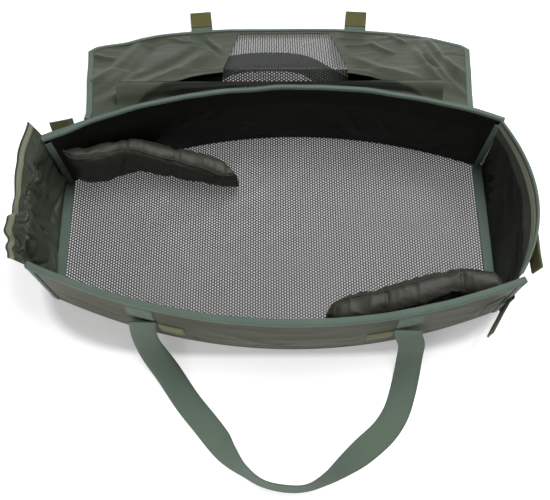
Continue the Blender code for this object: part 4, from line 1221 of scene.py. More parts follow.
def puckers(end, y, height):
    """Gathers that hang from the hem, with slanting creases below them."""
    seed = 90 if end == "left" else 95
    near = np.exp(-np.abs(PANEL_HEIGHT - height) / 0.040)
    far = smoothstep(height / 0.030)
    fade = smoothstep((end_reach(end) - np.abs(y)) / 0.018)
    area = (-0.14, 0.14, 0.02, PANEL_HEIGHT + 0.02)
    if end == "left":
        deep = 0.0080 * near * rolls(y * 34.0 + 3.0 * height, height * 7.0, seed)
        slant = 0.0085 * creases(y, height, seed + 1, 60, area, 0.034, 0.0058, 62.0, 38.0)
        foot_bulge = 0.0070 * np.exp(-((height - 0.020) / 0.014) ** 2)
        soft = 0.0055 * rolls(y * 12.0, height * 12.0, seed + 2) - foot_bulge
        groove = 0.0050 * np.exp(-((crest_height(end, y) - height) / 0.0035) ** 2)
        return fade * (np.clip(deep + far * (slant + soft), -0.015, 0.009) + groove)
    deep = 0.0014 * near * rolls(y * 40.0, height * 6.0, seed)
    slant = 0.0030 * creases(y, height, seed + 1, 20, area, 0.050, 0.008, 75.0, 30.0)
    corner = 0.0045 * creases(y, height, seed + 3, 12, (0.06, 0.15, 0.0, 0.06), 0.035, 0.006, 118.0, 18.0)
    soft = 0.0050 * rolls(y * 11.0, height * 8.0, seed + 2)
    return fade * (deep + far * (slant + soft) + smoothstep(height / 0.008) * corner)


def crest_height(end, y):
    """Height of the hem along the cloth: a little jagged, and drawn up to the rims at the left end."""
    if end == "right":
        return PANEL_HEIGHT - 0.0004 + 0.0 * y
    ear = smoothstep((np.abs(y) - end_reach(end) + 0.052) / 0.050)
    return PANEL_HEIGHT + 0.004 + 0.0034 * rolls(y * 40.0, 4.0, 92) + 0.036 * ear


def make_panel(end):
    reach = end_reach(end)
    y = np.linspace(-reach, reach, 190)[None, :]
    share = np.linspace(0.0, 1.0, 74)[:, None]
    height = share * crest_height(end, y)
    if end == "right":
        lap = RIGHT_LAP * lap_height(height) * smoothstep((np.abs(y) / reach - 0.90) / 0.10)
        y = y + np.sign(y) * lap
    middle = puckers(end, y, height)
    near = end_point(end, y, height, middle - PANEL_HALF_CLOTH)
    far = end_point(end, y, height, middle + PANEL_HALF_CLOTH)
    sheet = shell(f"{end}_end_sheet", near, far, PANEL_CLOTH[end], uv=(y + 0 * share, height))
    dress(sheet, f"{end}_end_panel", f"{end}_end_panel")


def flap_grid(end, y, t, offset):
    """Point on a flap at a distance t above the hem. offset counts from the inner face outwards."""
    y, t, offset = np.broadcast_arrays(np.asarray(y, dtype=float), t, offset)
    hem = crest_height(end, y)
    flat = 1.0 - smoothstep((t - 0.002) / 0.024)
    gather = puckers(end, y, hem + 0.7 * t) * flat
    if end == "right":
        return end_point(end, y, hem + t, offset + gather)
    root = end_point(end, y, hem, gather)
    lean = np.radians(128.0 - 16.0 * smoothstep(-(y + 0.002) / 0.012) - 26.0 * smoothstep((y - 0.03) / 0.08))
    fan = np.radians(46.0 * smoothstep((y - 0.035) / 0.085) + 28.0 * smoothstep(-(y + 0.035) / 0.05))
    curve, straight = np.clip(t / FLAP_BEND, 0.0, 1.0), np.maximum(t - FLAP_BEND, 0.0)
    out_way = FLAP_BEND * (1.0 - np.cos(lean * curve)) / lean + straight * np.sin(lean)
    up_way = FLAP_BEND * np.sin(lean * curve) / lean + straight * np.cos(lean)
    out_flat = np.stack([-np.cos(fan), np.sin(fan), np.zeros_like(fan)], -1)
    pleats = creases(y, t, 98, 34, (-0.13, 0.13, 0.0, 0.03), 0.020, 0.0042, 70.0, 38.0)
    inside = smoothstep((end_reach(end) - np.abs(y)) / 0.010)
    free = smoothstep((0.032 - t) / 0.012) * smoothstep(t / 0.006) * inside
    wave = 0.0022 * rolls(y * 20.0, 3.0, 97) * smoothstep(t / 0.03) + 0.0045 * pleats * free
    normal = np.stack([-np.cos(fan) * np.cos(lean), np.sin(fan) * np.cos(lean), -np.sin(lean)], -1)
    place = root + out_flat * out_way[..., None] + np.array([0, 0, 1.0]) * up_way[..., None]
    return place + normal * (offset + wave)[..., None]


def flap_shell(name, end, y, t, near, far, material):
    return shell(name, flap_grid(end, y, t, near), flap_grid(end, y, t, far), material,
                 uv=(y + 0 * t, t + 0 * y))


def make_flap(end):
    """The flap's sheet bends across the hem with the panel. Its strip and tape ride on the flap."""
    body = f"{end}_end_flap"
    reach = end_reach(end)
    y = np.linspace(-reach, reach, 190)
    t = np.linspace(FLAP_FOOT[end], FLAP_HEIGHT, 30)[:, None]
    sheet = flap_shell(f"{end}_flap_sheet", end, y[None, :], t, -FLAP_HALF_CLOTH, FLAP_HALF_CLOTH, flap_nylon)
    low, high = STRIP_LOW[end], STRIP_LOW[end] + STRIP_WIDTH
    t = np.linspace(low, high, 8)[:, None]
    strip = flap_shell(f"{end}_strip", end, y[None, :], t, STRIP_NEAR, STRIP_FAR, pale_hook)
    edge = flap_grid(end, y, np.full(len(y), FLAP_HEIGHT - 0.0004), np.zeros(len(y)))
    lower = flap_grid(end, y, np.full(len(y), FLAP_HEIGHT - 0.0054), np.zeros(len(y)))
    away = unit(edge - lower)
    through = unit(np.cross(tangents(edge), away))
    section = folded_section(2 * FLAP_HALF_CLOTH, 0.0050, 0.0010)
    tape = band(f"{end}_flap_binding", edge, away, through, section, FLAP_BINDING[end],
                puckered(section, y, 99, 0.03))
    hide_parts(f"{end}_end_flap")
    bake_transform(sheet)
    dress(strip, body, f"{end}_hook_strip")
    dress(tape, body, f"{end}_flap_tape")
    for place in (low + 0.0012, high - 0.0012):
        stitch(body, flap_grid(end, y, np.full(len(y), place), np.full(len(y), STRIP_NEAR - 0.0002)))


for end in END_SIGN:
    make_panel(end)
    make_flap(end)

# %% [markdown]
# ## Padded wings
#
# Two bolsters of foam in thin nylon keep the fish in the middle of the net. Each is sewn upright by
# one end and lies along the floor, with a seam along the top. A bolster is simulated: a slim closed
# form is remeshed evenly and blown up by a little pressure as cloth, of which only the first few
# millimetres are kept. The seam, its puckers and the creases are pressed in afterwards.

# %% Wing forms
WING_COURSE = {
    "left": [(-0.385, 0.124), (-0.330, 0.144), (-0.275, 0.156),
             (-0.215, 0.148), (-0.140, 0.130), (-0.075, 0.102)],
    "right": [(0.398, -0.149), (0.340, -0.143), (0.270, -0.160),
              (0.200, -0.176), (0.140, -0.188), (0.095, -0.198)],
}
WING_FOOT = 0.0062
WING_TOP = {"left": ((0.0, 0.18, 0.45, 0.70, 0.90, 1.0), (0.138, 0.134, 0.122, 0.096, 0.082, 0.066)),
            "right": ((0.0, 0.18, 0.45, 0.70, 0.90, 1.0), (0.132, 0.130, 0.118, 0.102, 0.088, 0.072))}
WING_HALF = {"left": 0.0195, "right": 0.0230}
WING_SHIFT = {"left": 0.006, "right": 0.007}
WING_CHANNELS = (0.36, 0.68)
WING_ROUND = 0.48
WING_SLIM = 0.0022
WING_VOXEL = 0.0045
WING_SWELL = 0.0060
PIPING_RADIUS = 0.0013
CLOTH_STEPS = 20


def wing_course(end):
    """Stations along a wing on the floor, the way across it at each and its share of the length."""
    root = np.array(joints[f"{end}_wing_swing"]["pos_m"])
    root[2] = 0.0
    course = smooth_path([root, *[(x, y, 0.0) for x, y in WING_COURSE[end]]], 12)
    share = np.linspace(0.0, 1.0, len(course))
    ease = smoothstep((0.62 - share) / 0.2) if end == "left" else 1.0
    course[:, 1] += WING_SHIFT[end] * smoothstep(share / 0.15) * ease
    along = tangents(course)
    across = np.stack([-along[:, 1], along[:, 0], np.zeros(len(course))], -1)
    return course, across, share


def wing_section(end, share, slim):
    """Half thickness and height of a wing at a share of its length."""
    root = smoothstep(share / 0.14)
    tip = smoothstep((1.0 - share) / 0.09)
    channel = sum(np.exp(-((share - place) / 0.022) ** 2) for place in WING_CHANNELS)
    half = WING_HALF[end] * (0.30 + 0.70 * root) * (0.30 + 0.70 * tip) * (1.0 - 0.16 * channel) - slim
    height = np.interp(share, *WING_TOP[end]) - WING_FOOT - slim
    return np.maximum(half, 0.0028), height


def wing_form(end):
    """Closed form of a wing before it is blown up: rounded sections, a little slimmer than the wing."""
    course, across, share = wing_course(end)
    half, height = wing_section(end, share, WING_SLIM)
    angles = np.radians(np.arange(0, 360, 12))
    p = np.sign(np.cos(angles)) * np.abs(np.cos(angles)) ** WING_ROUND
    q = 0.5 + 0.5 * np.sign(np.sin(angles)) * np.abs(np.sin(angles)) ** WING_ROUND
    rings = (course[:, None] + across[:, None] * (half[:, None] * p)[..., None]
             + np.array([0, 0, 1.0]) * (WING_FOOT + height[:, None] * q)[..., None])
    count, last = len(angles), len(course) - 1
    ring = np.arange(count)
    step = np.roll(ring, -1)
    around = np.stack([ring, step, step + count, ring + count], -1)
    faces = [quad for i in range(last) for quad in (around + i * count).tolist()]
    faces += [list(range(count))[::-1], [last * count + k for k in range(count)]]
    mesh = bpy.data.meshes.new(f"{end}_wing")
    mesh.from_pydata([tuple(v) for v in rings.reshape(-1, 3)], [], faces)
    bm = bmesh.new()
    bm.from_mesh(mesh)
    bmesh.ops.recalc_face_normals(bm, faces=bm.faces)
    bm.to_mesh(mesh)
    bm.free()
    return add_object(f"{end}_wing", mesh)


def keep_mesh(made):
    """Apply what the modifiers make and remove them."""
    mesh = evaluated(made)
    made.modifiers.clear()
    made.data = mesh


def blow_up(made):
    """Even mesh, blown up as cloth by no more than the wing's swell."""
    remesh = made.modifiers.new("even", "REMESH")
    remesh.mode = "VOXEL"
    remesh.voxel_size = WING_VOXEL
    keep_mesh(made)
    start = read_points(made.data)
    cloth = made.modifiers.new("cloth", "CLOTH")
    cloth.settings.quality = 5
    cloth.settings.mass = 0.15
    cloth.settings.use_pressure = True
    cloth.settings.uniform_pressure_force = 4.0
    cloth.settings.effector_weights.gravity = 0.0
    cloth.settings.tension_stiffness = 12.0
    cloth.settings.compression_stiffness = 12.0
    cloth.settings.bending_stiffness = 0.2
    cloth.collision_settings.use_collision = False
    for step in range(1, CLOTH_STEPS + 1):
        bpy.context.scene.frame_set(step)
    keep_mesh(made)
    bpy.context.scene.frame_set(1)
    moved = read_points(made.data) - start
    size = np.linalg.norm(moved, axis=1, keepdims=True)
    moved *= np.minimum(1.0, WING_SWELL / np.maximum(size, 1e-9))
    made.data.vertices.foreach_set("co", (start + moved).ravel())
    finer = made.modifiers.new("finer", "SUBSURF")
    finer.levels = finer.render_levels = 1
    keep_mesh(made)
    print(made.name, "moved up to", round(float(size.max()) * 1000, 1), "mm")


# %% [markdown]
# ### Seam and creases of the wings
#
# After the simulation each point is moved along its normal: down into the seam line, up and down in
# the small puckers beside it, and over the creases that the thin nylon keeps where the foam bends.

# %% Wings
SEAM_OUT, SEAM_UP = 0.90, 0.94
WING_SEED = {"left": 110, "right": 118}
wing_piping = binding("wing_piping", (0.045, 0.050, 0.034))


def seam_line(end):
    """Course of the seam over the top of a wing, on the side that faces the middle of the floor."""
    course, across, share = wing_course(end)
    half, height = wing_section(end, share, 0.0)
    inward = across * np.sign(across[:, 1:2]) * END_SIGN[end]
    line = course + inward * (SEAM_OUT * half)[:, None]
    line[:, 2] = WING_FOOT + height * SEAM_UP
    return line


def make_wing(end):
    made = wing_form(end)
    blow_up(made)
    mesh = made.data
    mesh.materials.clear()
    mesh.materials.append(wing_nylon)
    mesh.shade_smooth()
    points = read_points(mesh)
    normals = np.empty(len(points) * 3)
    mesh.vertex_normals.foreach_get("vector", normals)
    normals = normals.reshape(-1, 3)
    line = seam_line(end)
    away = np.min(np.linalg.norm(points[:, None] - line[None], axis=2), axis=1)
    x, z = points[:, 0], points[:, 2]
    seed = WING_SEED[end]
    seam = np.exp(-(away / 0.0035) ** 2)
    beside = np.exp(-(away / 0.0140) ** 2) - seam
    area = (x.min(), x.max(), 0.02, 0.13)
    folds = creases(x, z, seed, 44, area, 0.030, 0.0055, 100.0, 34.0)
    channel = np.zeros(len(points))
    course = wing_course(end)[0]
    for place in WING_CHANNELS:
        centre = course[int(round(place * (len(course) - 1)))]
        slant = (x - centre[0]) - 0.35 * (z - 0.05)
        channel += np.exp(-(slant / 0.004) ** 2)
    lift = (-0.0022 * seam + 0.0018 * beside * rolls(x * 75.0, z * 10.0, seed + 1) + 0.0018 * folds
            + 0.0014 * rolls(x * 16.0, z * 14.0 + points[:, 1] * 14.0, seed + 2) - 0.0028 * channel)
    lift *= smoothstep((z - WING_FOOT) / 0.012)
    points = points + normals * lift[:, None]
    points[:, 2] = np.maximum(points[:, 2], WING_FOOT - 0.0004)
    mesh.vertices.foreach_set("co", points.ravel())
    mesh.update()
    dress(made, f"{end}_wing", f"{end}_wing_cover", f"{end}_wing_foam")
    make_piping(end, mesh, line)


def make_piping(end, mesh, line):
    """Round piping that lies in the seam, on the nearest points of the finished cloth."""
    surface = BVHTree.FromPolygons([v.co[:] for v in mesh.vertices], [p.vertices[:] for p in mesh.polygons])
    path = []
    for p in line[2:]:
        place, normal = surface.find_nearest(Vector(p))[:2]
        path.append(np.array(place + normal * 0.0006))
    path = smooth_path(np.array(path)[::4], 4)
    along = tangents(path)
    side_way = unit(np.cross(along, np.tile((0.0, 0.0, 1.0), (len(path), 1))))
    circle = [(PIPING_RADIUS * math.cos(a), PIPING_RADIUS * math.sin(a))
              for a in np.radians(np.arange(0, 360, 45))]
    piping = band(f"{end}_wing_seam", path, side_way, np.cross(side_way, along), circle, wing_piping)
    dress(piping, f"{end}_wing", f"{end}_wing_piping")


for end in END_SIGN:
    make_wing(end)

# %% [markdown]
# ## The lid
#
# The lid hangs from the rear rim. Drawn forward it covers the cradle, and here it is folded back: the
# upper part hangs behind the wall, the middle part rises to a ridge, and the outer part slopes down to
# the ground with its inner face up. Each part is a sheet on its own plane, which starts at the joint
# that it turns on and runs the way given for it. The long soft folds of the photograph are ridges drawn
# from point to point.

# %% Lid planes
LID_X = 0.012
WINDOW_X = 0.025
LID_HALF_EDGE = 0.425
LID_HALF_REAR = 0.378
LID_OUTER = 0.187
LID_EDGE_BOW = 0.100
LID_HEM = 0.022
LID_HALF_CLOTH = 0.0007
LID_TAPE_LEG, LID_TAPE_THICK = 0.0100, 0.0010
MIDDLE_LENGTH, UPPER_LENGTH = 0.120, 0.185
WINDOW_HALF, WINDOW_TAPER, WINDOW_LENGTH = 0.133, 0.028, 0.165
NET_LAP = 0.004
X_WAY = np.array((1.0, 0.0, 0.0))


def lid_plane(along_y, along_z):
    """Direction along a part of the lid, away from the joint that it turns on, and the way up from it."""
    return np.array((0.0, along_y, along_z)), np.array((0.0, -along_z, along_y))


HINGE, FOLD, RIDGE = (np.array(joints[name]["pos_m"]) for name in ("lid_hinge", "lid_fold", "lid_ridge"))
OUTER_ALONG, OUTER_UP = lid_plane(0.8890, -0.4579)
MIDDLE_ALONG, MIDDLE_UP = lid_plane(0.7420, 0.6704)
UPPER_ALONG, UPPER_UP = lid_plane(0.0698, -0.9976)
BACK_AT = (0.08, 0.12, 0.16, 0.19, 0.22, 0.25, 0.28, 0.30, 0.315, 0.330)
BACK_BY = (0.000, 0.010, 0.021, 0.033, 0.053, 0.075, 0.105, 0.130, 0.165, 0.260)
LID_FOLDS = [
    ((-0.330, -0.140), (-0.147, 0.063), 0.015, 0.0070), ((-0.300, -0.060), (-0.165, 0.100), 0.011, -0.0045),
    ((-0.375, -0.070), (-0.305, 0.135), 0.013, 0.0060), ((-0.352, -0.120), (-0.275, 0.100), 0.009, -0.0045),
    ((-0.395, 0.060), (-0.350, 0.045), 0.006, 0.0040), ((-0.240, 0.150), (-0.195, 0.118), 0.005, 0.0035),
    ((-0.205, 0.152), (-0.180, 0.110), 0.004, 0.0030), ((-0.160, 0.155), (-0.125, 0.090), 0.005, 0.0035),
    ((-0.150, 0.120), (-0.115, 0.060), 0.005, -0.0030), ((0.270, 0.155), (0.296, 0.110), 0.006, 0.0045),
    ((0.222, 0.110), (0.262, 0.062), 0.007, 0.0050), ((0.160, 0.100), (0.222, 0.110), 0.006, 0.0030),
    ((0.150, 0.140), (0.205, 0.135), 0.004, 0.0025), ((0.349, 0.125), (0.400, -0.035), 0.009, 0.0065),
    ((0.335, 0.100), (0.388, -0.118), 0.008, 0.0055), ((0.315, 0.073), (0.365, -0.100), 0.009, 0.0055),
    ((0.328, 0.040), (0.352, -0.020), 0.004, -0.0045), ((0.372, 0.060), (0.395, -0.080), 0.005, -0.0040),
    ((0.180, 0.040), (0.300, -0.060), 0.012, 0.0045),
]


def fold(u, v, start, end, width, height):
    """Soft ridge, or a valley where the height is negative, along the line from start to end."""
    du, dv = end[0] - start[0], end[1] - start[1]
    reach = math.hypot(du, dv)
    along = ((u - start[0]) * du + (v - start[1]) * dv) / reach ** 2
    aside = ((v - start[1]) * du - (u - start[0]) * dv) / reach
    aside = aside + 0.05 * reach * np.sin(along * math.pi)
    ends = smoothstep(along / 0.3 + 0.5) * smoothstep((1.0 - along) / 0.3 + 0.5)
    return height * np.exp(-(aside / width) ** 2) * ends


def rear_reach(x):
    """How far back the outer part may reach from the ridge before it meets the rim tape."""
    return (RIDGE[1] - half_depth(x) - TAPE - 0.0020) / OUTER_ALONG[1]


def lid_back(x):
    """How far the outer part reaches back from the ridge: the ridge bends round to meet the rim."""
    return np.minimum(np.interp(np.abs(x - LID_X), BACK_AT, BACK_BY), rear_reach(x))


def free_edge(x):
    """Distance of the free edge from the ridge: bowed, drawn in at one place, with rounded corners."""
    bowed = LID_OUTER - LID_EDGE_BOW * np.abs((x - LID_X) / LID_HALF_EDGE) ** 3
    drawn_in = 0.009 * np.exp(-((x + 0.335) / 0.040) ** 2)
    rounded = 0.012 * (1.0 - smoothstep((LID_HALF_EDGE - np.abs(x - LID_X)) / 0.016))
    return bowed - drawn_in - rounded + 0.0012 * rolls(x * 9.0, 1.0, 130)


def window_half(s):
    return WINDOW_HALF - WINDOW_TAPER * np.clip(s / WINDOW_LENGTH, 0.0, 1.0)


def lid_lift(x, s):
    """Height of the folds in the outer part."""
    small = creases(x, s, 132, 46, (-0.41, 0.43, -0.15, 0.17), 0.045, 0.0050, 55.0, 50.0)
    total = 0.0040 * rolls(x * 8.0, s * 10.0, 131) + 0.0016 * small
    for line in LID_FOLDS:
        total = total + fold(x, s, *line)
    inside = smoothstep((window_half(s) + 0.012 - np.abs(x - WINDOW_X)) / 0.012)
    total = total * (1.0 - 0.6 * inside)
    edge = smoothstep((free_edge(x) - s) / 0.030)
    from_ridge = s + lid_back(x)
    ridge = smoothstep(from_ridge / 0.030)
    straight = smoothstep((0.325 - np.abs(x - LID_X)) / 0.02)
    rounded = 0.0050 * (1.0 - smoothstep(from_ridge / 0.010)) ** 2 * straight
    layer = 0.0018 * smoothstep(-s / 0.020)
    return total * (0.35 + 0.65 * edge) * (0.15 + 0.85 * ridge) + layer - rounded


def outer_lid(x, s, q):
    """Point on the outer part: s from the ridge towards the free edge, q upwards from its middle."""
    x, s, q = np.broadcast_arrays(np.asarray(x, dtype=float), s, q)
    place = RIDGE + X_WAY * x[..., None] + OUTER_ALONG * s[..., None]
    place = place + OUTER_UP * (0.0008 + lid_lift(x, s) + q)[..., None]
    place[..., 2] = np.maximum(place[..., 2], 0.0012 + np.clip(q, 0.0, 0.002))
    return place


def middle_lid(x, t, q):
    """Point on the middle part: t from the fold towards the ridge."""
    x, t, q = np.broadcast_arrays(np.asarray(x, dtype=float), t, q)
    free = np.sin(math.pi * np.clip(t / MIDDLE_LENGTH, 0.0, 1.0))
    small = creases(x, t, 141, 24, (-0.3, 0.32, 0.0, 0.12), 0.03, 0.005, 80.0, 30.0)
    slack = free * (0.0035 * rolls(x * 10.0, t * 14.0, 140) + 0.0020 * small - 0.0050)
    place = FOLD + X_WAY * x[..., None] + MIDDLE_ALONG * t[..., None]
    return place + MIDDLE_UP * (slack - 0.0008 + q)[..., None]


def upper_lid(x, t, q):
    """Point on the upper part: t from the hinge down to the fold."""
    x, t, q = np.broadcast_arrays(np.asarray(x, dtype=float), t, q)
    free = np.sin(math.pi * np.clip(t / UPPER_LENGTH, 0.0, 1.0))
    slack = free * 0.0030 * rolls(x * 9.0, t * 9.0, 145)
    place = HINGE + X_WAY * x[..., None] + UPPER_ALONG * t[..., None]
    return place + UPPER_UP * (slack - 0.00095 + q)[..., None]


# %% [markdown]
# ### Outer part of the lid
#
# The sheet is one grid whose columns start on the bent ridge and end on the free edge. The cells of
# the window are left open. The net lies under the edge of the cloth all round.

# %% Outer part of the lid
WINDOW_BLOCKS = (60, 40, 60)
WINDOW_ROWS, HEM_ROWS = 66, 8


def side_half(s):
    """Half width of the outer part, which widens from the rim towards its free corners."""
    reach = float(rear_reach(LID_X + LID_HALF_REAR))
    corner = LID_OUTER - LID_EDGE_BOW
    return LID_HALF_REAR + (LID_HALF_EDGE - LID_HALF_REAR) * np.clip((s + reach) / (corner + reach), 0.0, 1.0)


def lid_grid():
    """Grid of (x, s) over the outer part, and the columns and rows of its window."""
    blocks = [np.linspace(i, i + 1, n, endpoint=False) for i, n in enumerate(WINDOW_BLOCKS)]
    shares = np.concatenate(blocks + [[3.0]])[None, :]
    rows = np.concatenate([np.linspace(0.0, 1.0, WINDOW_ROWS, endpoint=False),
                           1.0 + np.linspace(0.0, 1.0, HEM_ROWS)])[:, None]
    x = LID_X + (shares / 1.5 - 1.0) * 0.40 + 0 * rows
    for _ in range(6):
        low, high = -lid_back(x), free_edge(x)
        hem = high - LID_HEM
        s = np.where(rows <= 1.0, low + (hem - low) * rows, hem + (high - hem) * (rows - 1.0))
        side, net = side_half(s), window_half(s)
        marks = [LID_X - side, WINDOW_X - net, WINDOW_X + net, LID_X + side]
        parts = [marks[i] + (marks[i + 1] - marks[i]) * (shares - i) for i in range(3)]
        x = np.select([shares <= 1.0, shares <= 2.0], parts[:2], parts[2])
    return x, s, range(WINDOW_BLOCKS[0], sum(WINDOW_BLOCKS[:2])), range(WINDOW_ROWS)


def make_outer_lid():
    """The sheet with its open window. The (x, s) course of its edge is returned for the tape."""
    x, s, columns, rows = lid_grid()
    sheet = shell("lid_outer_sheet", outer_lid(x, s, LID_HALF_CLOTH), outer_lid(x, s, -LID_HALF_CLOTH),
                  lid_nylon, is_open=lambda r, c: r in rows and c in columns, uv=(x, s))
    dress(sheet, "lid_outer", "lid_outer_cloth")
    return [np.concatenate([grid[:, 0], grid[-1, 1:-1], grid[::-1, -1]]) for grid in (x, s)]


def make_outer_window():
    net = lay_net("lid_outer_window", (WINDOW_X - 0.140, -0.004), (WINDOW_X + 0.140, 0.170),
                  lambda x, y: abs(x - WINDOW_X) < window_half(y) + NET_LAP,
                  lambda x, y: outer_lid(x, y, -0.0016 + 0 * x))
    dress(net, "lid_outer", "lid_outer_net")


def make_lid_tape(x, s):
    """Tape round three sides of the outer part, mitred at its corners."""
    path = outer_lid(x, s, np.zeros(len(x)))
    normals = unit(np.cross(OUTER_UP, unit(np.diff(path, axis=0))))
    before = np.concatenate([normals[:1], normals])
    after = np.concatenate([normals, normals[-1:]])
    outward = (before + after) / (1.0 + (before * after).sum(1, keepdims=True))
    section = folded_section(2 * LID_HALF_CLOTH, LID_TAPE_LEG, LID_TAPE_THICK)
    tape = band("lid_edge_binding", path, outward, np.tile(OUTER_UP, (len(path), 1)), section, green_binding,
                puckered(section, lengths(path), 133, 0.04))
    dress(tape, "lid_outer", "lid_edge_tape")
    stitch("lid_outer", path - outward * 0.0085 + OUTER_UP * 0.0023)
    print("lid edge", round(lengths(path)[-1], 2), "m of tape")


edge_x, edge_s = make_outer_lid()
make_outer_window()
make_lid_tape(edge_x, edge_s)

# %% [markdown]
# ### Middle and upper parts of the lid
#
# Both parts lie in the shade behind the rear wall. Each is two cloths with a piece of net between them,
# and the net narrows towards the ridge. One side of each cloth is the near black lining nylon, a painted
# shade for lid cloth in that shade. A slack web of cloth joins the straight hinge to the bowed rim.
# Where the web lies in the hollow below the bent ridge its colour is painted dark as shade, which a
# value on its points says.

# %% Middle and upper parts of the lid
STRIP_NET_HALF = 0.175
WEB_HALF = 0.322
WEB_EDGE = HINGE[1] - 0.0016
SAG_PEAK = 0.1755
RIDGE_AT = (0.21, 0.24, 0.262, 0.29, 0.315)
RIDGE_BY = (1.20, 0.78, 0.60, 0.20, -0.10)


def lid_strip(body, place, length, halves, window):
    """Two cloths and the net between them, over the whole length of one part of the lid."""
    def net_half(share):
        return window[0] + (window[1] - window[0]) * share

    t = np.linspace(0.0, length, 40)[:, None]
    for end, sign in END_SIGN.items():
        across = np.linspace(0.0, 1.0, 60)[None, :]
        inner = WINDOW_X + sign * net_half(t / length)
        outer = LID_X + sign * np.interp(t / length, (0.0, 0.5, 1.0), halves)
        x, s = inner + (outer - inner) * across, t + 0 * across
        # Painted shade: the near face is the black lining nylon, as this lid cloth lies in shade; the far
        # face is lid nylon.
        sheet = shell(f"{body}_{end}", place(x, s, LID_HALF_CLOTH), place(x, s, -LID_HALF_CLOTH),
                      lining_nylon, lid_nylon, uv=(x, s))
        dress(sheet, body, f"{body}_cloth_{end}")
    net = lay_net(f"{body}_window", (WINDOW_X - STRIP_NET_HALF, 0.0), (WINDOW_X + STRIP_NET_HALF, length),
                  lambda x, y: abs(x - WINDOW_X) < net_half(y / length) + NET_LAP,
                  lambda x, y: place(x, np.clip(y, 0.001, length - 0.001), -0.0012 + 0 * x))
    dress(net, body, f"{body}_net")


def make_root_web():
    """Web from the bowed rim to the straight hinge, painted dark as shade where its attribute is 1, in the
    hollow.
    """
    x = (LID_X + np.linspace(-WEB_HALF, WEB_HALF, 200))[None, :]
    share = np.linspace(0.0, 1.0, 12)[:, None]
    rim_y = half_depth(x) + 0.0010
    gap = WEB_EDGE - rim_y
    slack = 0.45 * gap * (1.0 + 0.35 * rolls(x * 14.0, 0.0, 148))
    sag = slack * share ** 0.8 * (1.0 - share) ** 2.2 / SAG_PEAK
    web = np.stack([x + 0 * share, rim_y + gap * share, WALL_TOP + 0.0050 * share - sag], -1)
    thick = np.array((0.0, 0.0, 0.0006))
    made = shell("lid_root_cloth", web + thick, web - thick, web_nylon, uv=(x + 0 * share, gap * share))
    points = read_points(made.data)
    rim_line = half_depth(points[:, 0]) + TAPE + 0.0006
    across = (points[:, 1] - rim_line) / (WEB_EDGE - rim_line)
    bent_ridge = np.interp(np.abs(points[:, 0] - LID_X), RIDGE_AT, RIDGE_BY)
    # Painted shade: 1 between the rim and the bent ridge, where the web lies in shade, fading to 0 beyond it.
    hollow = made.data.attributes.new("hollow", "FLOAT", "POINT")
    hollow.data.foreach_set("value", smoothstep((bent_ridge - across) / 0.16 + 0.5).astype(np.float32))
    dress(made, "cradle", "lid_root_web")


lid_strip("lid_middle", middle_lid, MIDDLE_LENGTH, (0.325, 0.305, 0.245), (0.150, 0.133))
lid_strip("lid_upper", upper_lid, UPPER_LENGTH, (0.318, 0.322, 0.325), (0.165, 0.150))
make_root_web()

# %% [markdown]
# ## Sewing
#
# All the seams are known now, so the thread of each body becomes one mesh that moves with it.

# %% Sew everything
sew()

# %% [markdown]
# ## The ground and the light
#
# The cradle is shown on plain white ground. The ground is a white matt sheet that keeps the shadow,
# with a little light of its own, so that it comes out white as in the photograph. The camera sees that
# light, straight or in a reflection, but it lights nothing. Under the cradle and the lid that light is
# turned down, a painted shade for the ground in their shade, and behind the rear wall it is nearly off,
# a painted shadow. One wide lamp stands over the cradle, a smaller and weaker one in front to the left,
# and the sky lights the rest.

# %% Ground and light
GROUND_GLOW = 0.66
# Painted shade and shadow: the ground's own light under the cradle and lid, and behind the rear wall.
GLOW_IN_PAINTED_SHADE = 0.45
GLOW_IN_PAINTED_SHADOW = 0.05
GROUND_REACH = 6.0
SKY = 0.20
UNDER_FLOOR = ((0.0, 0.0), (0.478, 0.258))
UNDER_LID = ((0.01, 0.39), (0.400, 0.135))
BEHIND_WALL = ((0.01, 0.340), (0.390, 0.072))


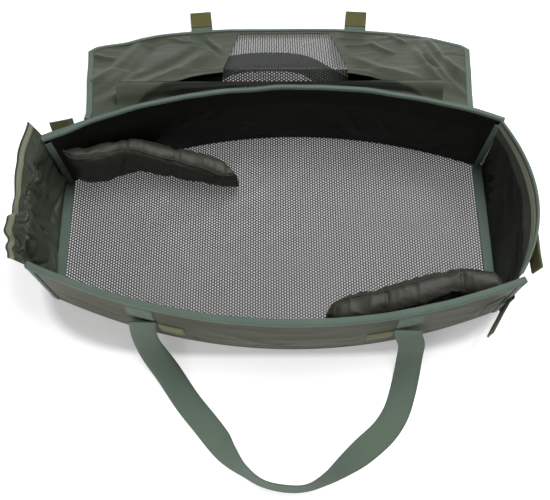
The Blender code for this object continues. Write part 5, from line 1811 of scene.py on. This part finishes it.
def make_ground():
    mesh = bpy.data.meshes.new("ground")
    signs = ((-1, -1), (1, -1), (1, 1), (-1, 1))
    corners = [(x * GROUND_REACH, y * GROUND_REACH, -GROUND_GAP) for x, y in signs]
    mesh.from_pydata(corners, [], [(0, 1, 2, 3)])
    finish = Finish("ground", Base_Color=(0.80, 0.80, 0.80, 1.0), Roughness=1.0, Specular_IOR_Level=0.0)
    x, y, _ = finish.parts(finish.place("Object"))
    # Painted shade: the ground's own light is turned down under the floor net and under the lid.
    painted_shade_beneath = finish.math("MAXIMUM", finish.inside(x, y, *UNDER_FLOOR), finish.inside(x, y, *UNDER_LID))
    rays = finish.node("ShaderNodeLightPath").outputs
    seen = finish.math("MAXIMUM", *(Number(finish, rays[f"Is {kind} Ray"]) for kind in ("Camera", "Glossy")))
    seen = finish.math("MAXIMUM", seen, Number(finish, rays["Is Transmission Ray"]))
    colour = finish.between(painted_shade_beneath, (1.0, 1.0, 1.0, 1.0), (GLOW_IN_PAINTED_SHADE, GLOW_IN_PAINTED_SHADE, GLOW_IN_PAINTED_SHADE, 1.0))
    # Painted shadow: the ground's own light is nearly off behind the rear wall.
    painted_shadow_behind_wall = finish.inside(x, y, *BEHIND_WALL)
    colour = finish.between(painted_shadow_behind_wall, colour, (GLOW_IN_PAINTED_SHADOW, GLOW_IN_PAINTED_SHADOW, GLOW_IN_PAINTED_SHADOW, 1.0))
    glow = finish.node("ShaderNodeEmission", None, {"Color": colour, "Strength": seen * GROUND_GLOW})
    both = finish.node("ShaderNodeAddShader", None, {0: finish.shader.outputs[0], 1: glow.outputs[0]})
    finish.plug(finish.tree.nodes["Material Output"].inputs["Surface"], both.outputs[0])
    mesh.materials.append(finish.material)
    add_object("ground", mesh)


def make_lamp(name, place, target, size, power):
    data = bpy.data.lights.new(name, "AREA")
    data.shape = "SQUARE"
    data.size = size
    data.energy = power
    aim = (Vector(target) - Vector(place)).to_track_quat("-Z", "Y").to_matrix().to_4x4()
    add_object(name, data).matrix_world = Matrix.Translation(Vector(place)) @ aim


def make_sky():
    """A dim even sky that the camera itself sees as white."""
    world = bpy.data.worlds.new("sky")
    bpy.context.scene.world = world
    world.use_nodes = True
    nodes, links = world.node_tree.nodes, world.node_tree.links
    background = nodes["Background"].inputs
    background["Color"].default_value = (1.0, 1.0, 1.0, 1.0)
    level = nodes.new("ShaderNodeMath")
    level.operation = "MULTIPLY_ADD"
    level.inputs[1].default_value = 1.0 - SKY
    level.inputs[2].default_value = SKY
    links.new(nodes.new("ShaderNodeLightPath").outputs["Is Camera Ray"], level.inputs[0])
    links.new(level.outputs[0], background["Strength"])


make_ground()
make_lamp("key", (0.55, 0.75, 2.4), (0.0, 0.0, 0.0), 1.5, 58.0)
make_lamp("fill", (-1.2, -2.3, 0.55), (0.0, 0.0, 0.05), 1.0, 26.0)
make_sky()
bpy.context.scene.view_settings.view_transform = "Standard"
